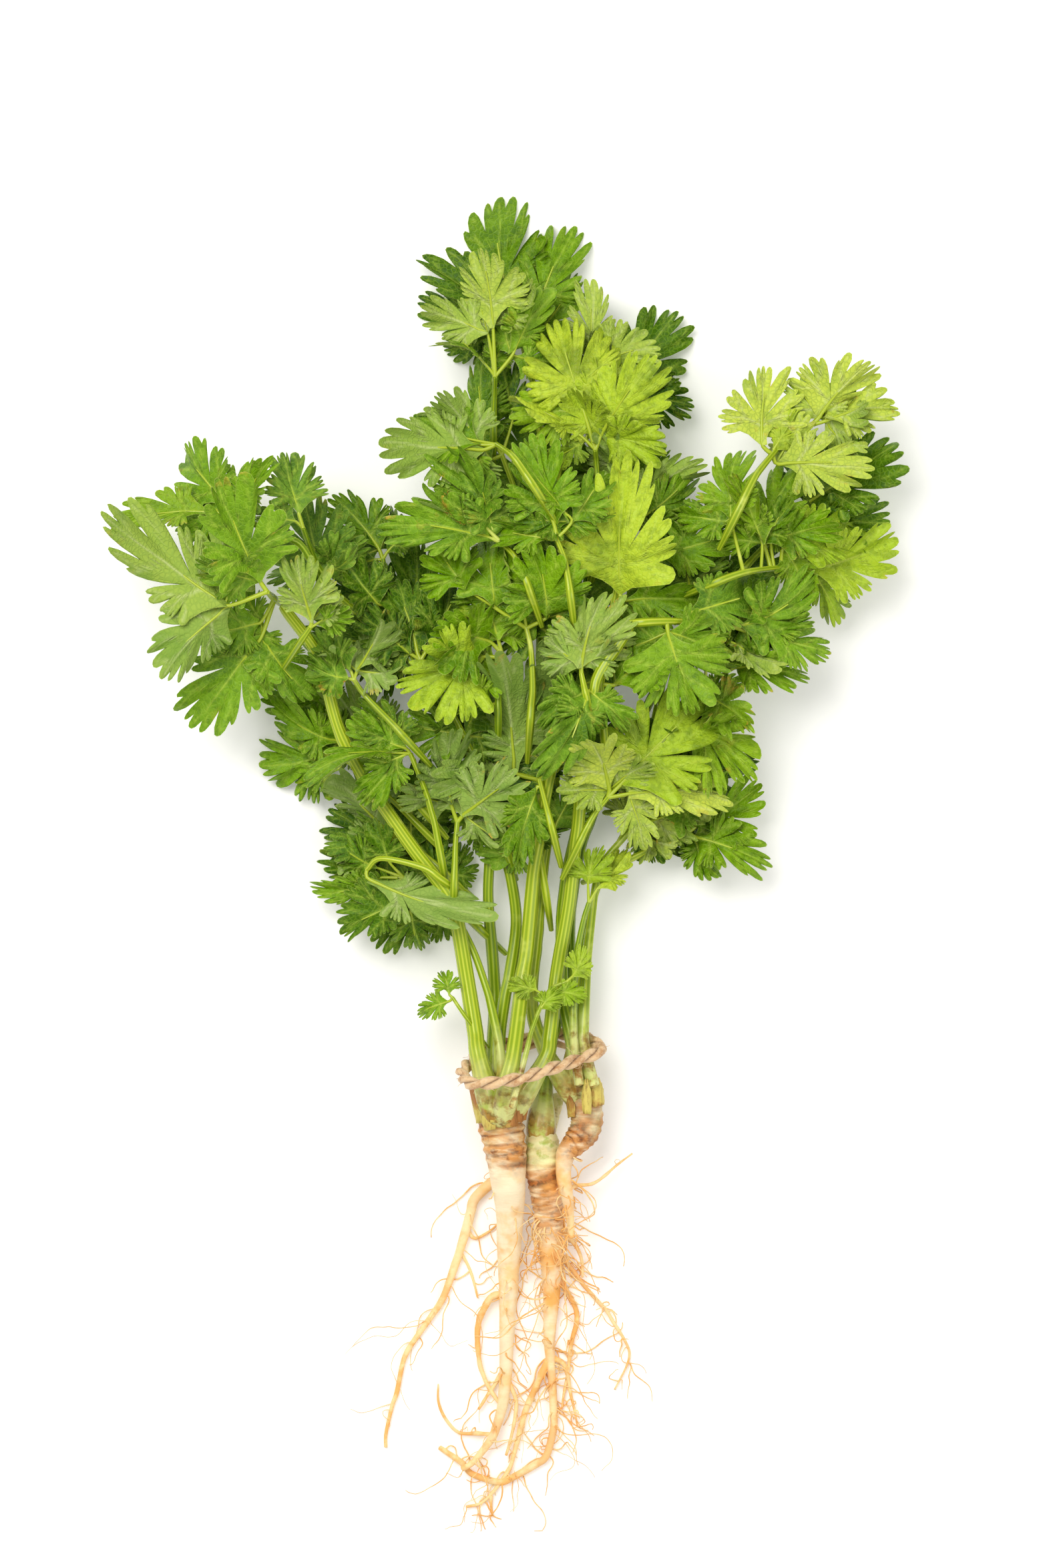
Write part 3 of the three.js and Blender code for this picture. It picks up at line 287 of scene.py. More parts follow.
def speckle(tree, per_metre, detail=3.0, roughness=0.55, stretch=(1, 1, 1)):
    place = wire(tree, "ShaderNodeTexCoord").outputs["Object"]
    place = wire(tree, "ShaderNodeVectorMath", {"operation": "MULTIPLY"}, i0=place, i1=stretch).outputs[0]
    return wire(tree, "ShaderNodeTexNoise", Vector=place, Scale=per_metre, Detail=detail,
                Roughness=roughness).outputs["Fac"]


def fresh_material(name):
    material = bpy.data.materials.new(name)
    material.use_nodes = True
    tree = material.node_tree
    return material, tree, tree.nodes["Principled BSDF"]


def plug_in(tree, shader, colour, roughness, height, strength, distance):
    bump = wire(tree, "ShaderNodeBump", Height=height, Strength=strength, Distance=distance)
    tree.links.new(bump.outputs["Normal"], shader.inputs["Normal"])
    tree.links.new(colour, shader.inputs["Base Color"])
    tree.links.new(roughness, shader.inputs["Roughness"])


# Tissue blotches: soft patches of one colour in another, used on every living part and the twine.
blotches = bpy.data.node_groups.new("tissue blotches", "ShaderNodeTree")
for label, kind, value in (("Colour", "NodeSocketColor", (0.5, 0.5, 0.5, 1)),
                           ("Patch Colour", "NodeSocketColor", (0.5, 0.5, 0.5, 1)),
                           ("Patches per Metre", "NodeSocketFloat", 100.0), ("Cover", "NodeSocketFloat", 0.5)):
    blotches.interface.new_socket(label, in_out="INPUT", socket_type=kind).default_value = value
blotches.interface.new_socket("Colour", in_out="OUTPUT", socket_type="NodeSocketColor")
given, out = blotches.nodes.new("NodeGroupInput"), blotches.nodes.new("NodeGroupOutput")
patch = wire(blotches, "ShaderNodeTexNoise", Vector=wire(blotches, "ShaderNodeTexCoord").outputs["Object"],
             Scale=given.outputs["Patches per Metre"], Detail=4.0, Roughness=0.6).outputs["Fac"]
rim = sums(blotches, "SUBTRACT", 1.0, given.outputs["Cover"])
patch = wire(blotches, "ShaderNodeMapRange", {"interpolation_type": "SMOOTHSTEP"}, Value=patch,
             From_Min=sums(blotches, "SUBTRACT", rim, 0.09),
             From_Max=sums(blotches, "ADD", rim, 0.09)).outputs["Result"]
blotches.links.new(blend(blotches, patch, given.outputs["Colour"], given.outputs["Patch Colour"]), out.inputs["Colour"])


def blotched(tree, colour, patch_colour, per_metre, cover):
    node = tree.nodes.new("ShaderNodeGroup")
    node.node_tree = blotches
    for label, value in (("Colour", colour), ("Patch Colour", patch_colour),
                         ("Patches per Metre", per_metre), ("Cover", cover)):
        if isinstance(value, bpy.types.NodeSocket):
            tree.links.new(value, node.inputs[label])
        else:
            node.inputs[label].default_value = value
    return node.outputs["Colour"]


root_skin, tree, shader = fresh_material("washed root")
fineness, green, brown, scar = (mark(tree, name) for name in ("fineness", "green", "brown", "scar"))
flesh = blotched(tree, paint(255, 240, 204), paint(255, 216, 152), 90.0, 0.45)
flesh = blotched(tree, flesh, paint(248, 184, 98), 60.0, 0.38)
thin_flesh = blotched(tree, paint(255, 224, 164), paint(246, 186, 106), 150.0, 0.5)
flesh = blend(tree, ramp(tree, fineness, 0.0, 1.0), flesh, thin_flesh)
flesh = blend(tree, green, flesh, blotched(tree, paint(232, 236, 176), paint(160, 190, 84), 240.0, 0.42))
ring_stain = ramp(tree, speckle(tree, 330.0, 5.0, 0.62, (0.45, 1.5, 0.45)), 0.26, 0.62)
tan = blotched(tree, paint(212, 146, 76), paint(146, 86, 38), 420.0, 0.42)
colour = blend(tree, sums(tree, "MULTIPLY", brown, ring_stain), flesh, tan)
colour = blend(tree, scar, colour, blotched(tree, paint(176, 104, 44), paint(96, 56, 24), 500.0, 0.5))
wrinkle = speckle(tree, 900.0, 3.0, 0.6, (0.3, 2.2, 0.3))
plug_in(tree, shader, colour, ramp(tree, wrinkle, 0.3, 0.7, 0.45, 0.7), wrinkle, 0.5, 0.25 * MM)
shader.inputs["Specular IOR Level"].default_value = 0.35

dry_sheath, tree, shader = fresh_material("dried leaf sheath")
fibre = speckle(tree, 700.0, 4.0, 0.65, (1.6, 0.3, 1.6))
straw = blotched(tree, paint(214, 196, 96), paint(180, 120, 54), 130.0, 0.46)
colour = blend(tree, ramp(tree, fibre, 0.46, 0.72, 0.0, 0.7), straw, paint(124, 78, 38))
plug_in(tree, shader, colour, ramp(tree, fibre, 0.3, 0.7, 0.5, 0.8), fibre, 0.7, 0.3 * MM)


def root_hair(rng, start, outward, length, droop):
    """One hair's path: it leaves the root, then wanders and curls towards the root's tip."""
    path = [start - outward * 0.3 * MM, start + outward * 0.3 * MM]
    heading = unit(outward + np.array([0, -0.5, 0]))
    turn = rng.normal(size=3) * 0.25
    for _ in range(18):
        turn = turn * 0.8 + rng.normal(size=3) * 0.3
        heading = unit(heading + turn * 0.6 + np.array([0, -droop, -0.05]))
        point = path[-1] + heading * length / 18
        if point[2] < 0.25 * MM:
            point[2] = rng.uniform(0.25, 0.5) * MM
            heading[2] = abs(heading[2]) * 0.2
        path.append(point)
    return np.array(path)


def add_root_hairs(growth, rng, path, count, weights, longest):
    ahead, side, upright = frames_along(path[:, :3])
    for k in rng.choice(len(path), size=count, p=weights / weights.sum()):
        angle = rng.uniform(0, 2 * math.pi)
        outward = side[k] * math.cos(angle) + upright[k] * math.sin(angle)
        hair = root_hair(rng, path[k, :3] + outward * path[k, 3] * 0.9, unit(outward * [1, 1, 0.4]),
                         float(np.clip(rng.gamma(2.4, longest / 4.5), 3, longest)) * MM, rng.uniform(0.05, 0.3))
        hair[:, 1] = np.maximum(hair[:, 1], cad_low[1] - 4 * MM)
        line = spaced(hair, 0.8 * MM)
        thick = rng.uniform(0.11, 0.3) * MM
        add_tube(growth, line, np.linspace(thick, thick * 0.5, len(line)), 5, 0, fineness=1.0, brown=0.15)


def add_sheath(growth, rng, spot, up_way, out_way, height, width):
    """A dried flap: the torn foot of an old leaf stalk, curved round the crown and leaning out."""
    across = unit(np.cross(up_way, out_way))
    rows, columns = 9, 7
    points = []
    lean = rng.uniform(0.02, 0.2)
    for i in range(rows):
        t = i / (rows - 1)
        half = width * (0.55 + 0.3 * math.sin(t * 2.2)) * (1 - 0.75 * t ** 3)
        for k in range(columns):
            u = k / (columns - 1) * 2 - 1
            torn = rng.normal() * 0.25 * MM * t
            outwards = lean * height * t * t - 0.45 * half * u * u * (1 - 0.5 * t)
            points.append(spot + up_way * (height * t + torn) + across * half * u
                          + out_way * outwards + rng.normal(size=3) * 0.08 * MM)
    points = np.array(points)
    shell = np.vstack([points, points - out_way * 0.25 * MM])
    faces = []
    for i in range(rows - 1):
        for k in range(columns - 1):
            a = i * columns + k
            quad = [a, a + 1, a + columns + 1, a + columns]
            faces += [quad, [corner + rows * columns for corner in quad[::-1]]]
    outline = (list(range(columns)) + [i * columns + columns - 1 for i in range(1, rows)]
               + [(rows - 1) * columns + k for k in range(columns - 2, -1, -1)]
               + [i * columns for i in range(rows - 2, 0, -1)])
    for a, b in zip(outline, outline[1:] + outline[:1]):
        faces.append([b, a, a + rows * columns, b + rows * columns])
    growth.add(shell, faces, 1)


for order, (node, (trunk, side_roots)) in enumerate(ROOTS.items()):
    rng = np.random.default_rng(40 + order)
    top_green, crown_brown, brown_depth, hairs, sheaths = ROOT_KINDS[node]
    growth = Growth()
    trunk = np.array(trunk) * MM
    crown = trunk[0].copy()
    crown[:3] += unit(trunk[0, :3] - trunk[1, :3]) * trunk[0, 3] * 0.45
    crown[3] *= 0.62
    path = spaced(np.vstack([crown, trunk]), ROOT_STEP * MM)
    run = np.arange(len(path)) * ROOT_STEP
    big = trunk[0, 3] / MM
    sides = 40 if big > 3 else 20
    angle = np.arange(sides) / sides * 2 * math.pi
    around = np.stack([np.cos(angle), np.sin(angle)], 1)
    grid = np.array([[c * 3, s * 3, r] for r in run for c, s in around]) * MM
    uneven = waves(grid, 7 + order, 110).reshape(-1, sides)
    wobble = waves(grid, 17 + order, 60).reshape(-1, sides)
    # leaf-scar rings on the crown, fine wrinkles all the way down
    phase = (run[:, None] + wobble * 1.3) / (0.36 * big + 0.25)
    step = np.abs(phase % 1.0 - 0.5) * 2
    in_crown = (np.clip((brown_depth - run) / 5, 0, 1) * np.clip((run - 1.5) / 2, 0, 1))[:, None]
    wrinkles = waves(grid * [0.15, 0.15, 1], 3 + order, 480, 2).reshape(-1, sides)
    shape = 1 + in_crown * (0.11 * (step - 0.45) + 0.06 * uneven) + 0.02 * uneven + 0.012 * wrinkles
    lines = np.clip((0.34 - step) / 0.2, 0, 1) * in_crown * np.clip(0.62 + 0.55 * uneven, 0, 1)
    lines = lines * np.clip((run - 3) / 4, 0.2, 1)[:, None]
    if node == "root_middle":  # the dark ring where the green crown ends
        dark_ring = np.exp(-((run[:, None] - 13.2 + wobble) / 1.3) ** 2) * 0.95
        lines = np.maximum(lines * np.clip((run - 8) / 3, 0.1, 0.38)[:, None], dark_ring)
    if node == "root_left":    # the rust line where the crown ends
        rust = np.exp(-((run[:, None] - 17.5 + wobble) / 0.9) ** 2) * np.clip(0.6 + uneven, 0, 0.8)
        lines = np.maximum(lines, rust)
    if node == "root_right":   # an old, darkened crown
        lines = np.maximum(lines, np.clip((15 - run[:, None]) / 4, 0, 1) * np.clip(0.45 + 0.9 * uneven, 0, 0.85))
    brown_here = np.clip((brown_depth + 6 - run) / 9, 0.1, 1)[:, None] * (crown_brown + 0.25 * uneven)
    green_here = np.clip((12.5 - run + 1.5 * wobble[:, 0]) / 3, 0, 1)[:, None] * top_green * np.ones_like(step)
    add_tube(growth, path[:, :3], path[:, 3], sides, 0, shape, scar=lines,
             brown=np.clip(brown_here * (1 - 0.7 * green_here), 0, 1), green=np.clip(green_here, 0, 1),
             fineness=np.clip((2.4 - path[:, 3] / MM) / 1.8, 0, 1))
    weights = np.clip((run - 18) / 8, 0, 1) * np.clip(1.4 - run / 110, 0.35, 1)
    if node == "root_middle":
        weights = weights * (1 + 3.5 * np.exp(-((run - 32) / 10) ** 2))
    add_root_hairs(growth, rng, path, hairs // 2, weights + 1e-6, 28)
    for twig in side_roots:
        line = spaced(np.array(twig) * MM, 0.9 * MM)
        reach = np.arange(len(line)) * 0.9
        wander = [waves(line[:, :3], seed + order, 45, 2) for seed in (60, 61)]
        line[:, :2] += np.stack(wander, 1) * 0.45 * MM
        knobs = 1 + 0.12 * waves(line[:, :3], 62, 260, 2)
        add_tube(growth, line[:, :3], line[:, 3] * knobs * np.linspace(0.92, 0.62, len(line)), 12, 0,
                 fineness=0.75 + 0.25 * rng.uniform(), brown=0.12)
        twig_hairs = max(2, int(len(line) * 0.9 * hairs / 800))
        add_root_hairs(growth, rng, line, twig_hairs, np.clip(reach / 10, 0.05, 1), 15)
    ahead, side, upright = frames_along(path[:, :3])
    for k in range(sheaths):
        at = int(rng.uniform(3.5, 8) / ROOT_STEP)
        turn = math.pi / 2 + (k / max(1, sheaths - 1) - 0.5) * 1.9 + rng.normal() * 0.1
        out_way = side[at] * math.cos(turn) + upright[at] * math.sin(turn)
        spot = path[at, :3] + out_way * (path[at, 3] * 1.1 + 3.0 * MM * max(0.0, math.sin(turn)) ** 2)
        add_sheath(growth, rng, spot, unit(-ahead[at] + out_way * 0.1), out_way,
                   rng.uniform(6, 14) * MM, rng.uniform(2.0, 3.6) * MM * min(1, big / 5))
    piece = growth.piece(node + "_grown", [root_skin, dry_sheath])
    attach(piece, "root")
    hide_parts(node)


# ------------------------------------------------------------------------------------------ STEMS
# Long juicy leaf stalks run from each crown through the tie to the leaves. They are round, finely
# ribbed and shiny, light green above and paler, flushed with purple, where they sheathe the crown.

# (across, along, up, radius) from the crown upwards
STEMS = {
    "stem_left_low": [(-3.5, -70, 21.9, 2), (-3.5, -62.8, 19.5, 1.9), (-3.4, -56.2, 14.9, 1.9),
        (-2.7, -41.3, 9.4, 1.8), (-3, -33.4, 8.8, 1.7), (-3.6, -25.4, 9, 1.7), (-4.3, -17.4, 9.5, 1.6),
        (-4.7, -9.5, 10.2, 1.5), (-4.4, -1.5, 11.1, 1.5), (-3.8, 6.4, 12, 1.4), (-3, 22.2, 14.3, 1.3),
        (-2.4, 30.1, 15.8, 1.3), (-1.7, 38, 16.6, 1.2)],
    "stem_middle_low": [(13.3, -73.6, 7.1, 2), (12.6, -57.7, 7, 1.9), (13.8, -49.8, 7.2, 1.9),
        (18.1, -34.5, 8, 1.8), (18.6, -18.6, 8.9, 1.7), (19.3, -10.7, 9.4, 1.7), (22.1, 5, 9.8, 1.6),
        (28, 19.7, 10.3, 1.5), (31.9, 26.7, 10.7, 1.5), (39.2, 40.8, 11.9, 1.4), (46.3, 55, 13.7, 1.3),
        (49.9, 62, 14.8, 1.3), (57.3, 76, 16.6, 1.2)],
    "stem_left_long": [(1.3, -70, 22.4, 1.8), (-1.6, -54.7, 21, 1.7), (0, -39.9, 16, 1.7),
        (1.6, -32.3, 14.4, 1.7), (3.4, -16.7, 13.5, 1.6), (1.1, -1.1, 14.6, 1.5), (-1, 6.5, 15.6, 1.5),
        (-6.4, 21.3, 16.4, 1.5), (-12.8, 35.7, 16.9, 1.4), (-21.2, 49, 18.3, 1.3), (-31.4, 60.9, 20.7, 1.3),
        (-36.9, 66.3, 22.2, 1.3), (-48.7, 76.5, 24.6, 1.2)],
    "stem_right_crossing": [(19.7, -66, 13.7, 2.1), (14.7, -59.8, 13.7, 2), (11, -52.8, 13.2, 2),
        (8.4, -45.3, 12.8, 1.9), (7.8, -37.3, 12.7, 1.8), (8.4, -29.4, 12.8, 1.8), (9.2, -21.5, 12.9, 1.7),
        (10, -13.5, 13.2, 1.6), (10.7, -5.6, 13.5, 1.6), (11.7, 2.3, 13.8, 1.5), (13.2, 10.2, 14.1, 1.4),
        (14.2, 18, 14.4, 1.4), (14.8, 26, 14.6, 1.3)],
    "stem_right_tall": [(23.1, -63.8, 15.5, 2), (20.6, -56.3, 15.2, 2), (17, -41.1, 14.2, 1.9),
        (16.4, -33.3, 14, 1.8), (16.4, -17.5, 14, 1.7), (17.1, -9.7, 14.2, 1.7), (18.2, -1.9, 14.5, 1.6),
        (21.7, 13.4, 15.2, 1.5), (23.9, 20.9, 15.6, 1.5), (27.4, 36.2, 16.5, 1.4), (28.9, 43.9, 17.2, 1.3),
        (32.1, 59.2, 19, 1.2), (32.9, 67, 19.6, 1.2)],
    "stem_left_crossing": [(3.6, -70, 26.2, 2.2), (11.2, -57.5, 21.6, 2.1), (12.9, -50.2, 19.6, 2.1),
        (14.7, -34.7, 18, 2), (15.9, -27, 18, 2), (18.5, -11.5, 18.8, 1.9), (20.1, 3.8, 21.2, 1.8),
        (21.1, 11.5, 22.4, 1.8), (22.1, 26.4, 26.9, 1.7), (22.8, 32.9, 31.2, 1.7), (25.1, 46, 38.7, 1.6),
        (27.1, 53.5, 38.8, 1.6), (35.8, 66.5, 38.6, 1.5)],
    "stem_left_centre": [(-0.7, -70, 30.4, 2.3), (1.1, -62.3, 30.2, 2.2), (2.7, -54.8, 28.6, 2.2),
        (4.4, -40.5, 22.1, 2.1), (5.2, -33.1, 19.8, 2), (6.4, -25.3, 19, 2), (7.7, -9.7, 20.7, 1.9),
        (8.4, -2, 22.4, 1.8), (9.7, 5.6, 24.3, 1.8), (10.8, 13.1, 26.4, 1.7), (12.1, 20.5, 28.9, 1.7),
        (15.4, 34.8, 34.4, 1.6), (18.6, 42, 34.4, 1.5)],
    "stem_left_outer": [(-5.4, -70, 32.1, 2.4), (-7.3, -56.1, 25.3, 2.3), (-8.3, -48.9, 21.9, 2.3),
        (-10.8, -33.2, 19.7, 2.2), (-13.5, -17.4, 19.9, 2.1), (-16, -9.7, 19.5, 2.1), (-25.7, 3, 19.3, 2),
        (-34.9, 16.2, 20, 1.9), (-39.5, 22.8, 20.6, 1.9), (-46.9, 37, 22, 1.8), (-51.2, 52.4, 23.8, 1.7),
        (-53.8, 60, 24.8, 1.7), (-63.2, 72.6, 26.6, 1.6)],
}

STEM_STEP = 1.2                # millimetres from ring to ring of points up a stem
ONLY_STEM = "stem_middle_low"  # the one thick stem of its plant; it carries on straight from the crown

stem_skin, tree, shader = fresh_material("ribbed stem")
along, rib, tone = (mark(tree, name) for name in ("along", "rib", "tone"))
# Rib crests get a lighter green, a painted highlight, and the grooves between them a darker green (deep), painted
# shade.
crest_highlight_green = blend(tree, tone, paint(198, 210, 62), paint(134, 168, 14))
deep = blend(tree, tone, paint(146, 172, 24), paint(74, 116, 2))
colour = blend(tree, ramp(tree, rib, -0.6, 1.0), deep, crest_highlight_green)
colour = blotched(tree, colour, paint(208, 218, 104), 70.0, 0.34)
base = blotched(tree, paint(226, 228, 150), paint(190, 204, 96), 120.0, 0.45)
base = blotched(tree, base, paint(146, 88, 54), 190.0, 0.38)
stain = sums(tree, "MULTIPLY", ramp(tree, along, 17.0, 4.0), ramp(tree, speckle(tree, 210.0, 4.0, 0.6), 0.4, 0.58))
base = blend(tree, stain, base, blotched(tree, paint(176, 118, 58), paint(112, 64, 30), 380.0, 0.45))
colour = blend(tree, ramp(tree, along, 27.0, 8.0, 0.0, 0.85), colour, base)
streak = speckle(tree, 420.0, 3.0, 0.5, (1.0, 0.12, 1.0))
plug_in(tree, shader, colour, ramp(tree, streak, 0.3, 0.7, 0.22, 0.36), streak, 0.2, 0.15 * MM)
shader.inputs["Specular IOR Level"].default_value = 0.4


def ribs_round(rng, rings, sides, ribs, depth):
    angle = np.arange(sides) / sides * 2 * math.pi
    turned = angle[None, :] + rng.uniform(0, 6.28) + np.arange(rings)[:, None] * rng.uniform(-0.008, 0.008)
    crest = np.cos(ribs * turned)
    return 1 + depth * crest, crest


for order, (node, route) in enumerate(STEMS.items()):
    rng = np.random.default_rng(100 + order)
    route = np.array(route) * MM
    crowns = np.array([trunk[:2] for trunk, _ in ROOTS.values()]) * MM
    crown = crowns[np.argmin(np.linalg.norm(crowns[:, 0, :3] - route[0, :3], axis=1))]
    foot = np.append(crown[1, :3] * 0.7 + crown[0, :3] * 0.3 + (route[0, :3] - crown[0, :3]) * 0.35, route[0, 3])
    lead = route[1:]
    if node == ONLY_STEM:
        foot[:3] = crown[0, :3] * 0.5 + crown[1, :3] * 0.5
        neck = crown[0, :3] + unit(crown[0, :3] - crown[1, :3]) * 5 * MM
        lead = np.vstack([np.append(neck, route[0, 3]), lead])
    path = spaced(np.vstack([foot, lead]), STEM_STEP * MM)
    run = np.arange(len(path)) * STEM_STEP
    swelling = 1.1 if node == ONLY_STEM else 0.6
    radius = path[:, 3] * (1 + swelling * np.exp(-((run - 7) / 9) ** 2))
    joints = rng.uniform(0.35, 0.95, 2) * run[-1]
    for joint in joints:
        radius = radius * (1 + 0.14 * np.exp(-((run - joint) / 2.4) ** 2))
    radius[-3:] *= [0.97, 0.9, 0.75]
    ribs = int(rng.integers(9, 13))
    shape, crest = ribs_round(rng, len(path), ribs * 4, ribs, 0.03)
    growth = Growth()
    add_tube(growth, path[:, :3], radius, ribs * 4, 0, shape, rib=crest, tone=rng.uniform(0.0, 0.85))
    piece = growth.piece(node + "_grown", [stem_skin])
    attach(piece, "root")
    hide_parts(node)


# ----------------------------------------------------------------------------------------- LEAVES
# A leaf is a thin ribbed stalk and several soft fan-shaped leaflets, each cut into lobes and blunt
# teeth with a vein to every tooth: glossy green above, matt and pale beneath, thin as paper.

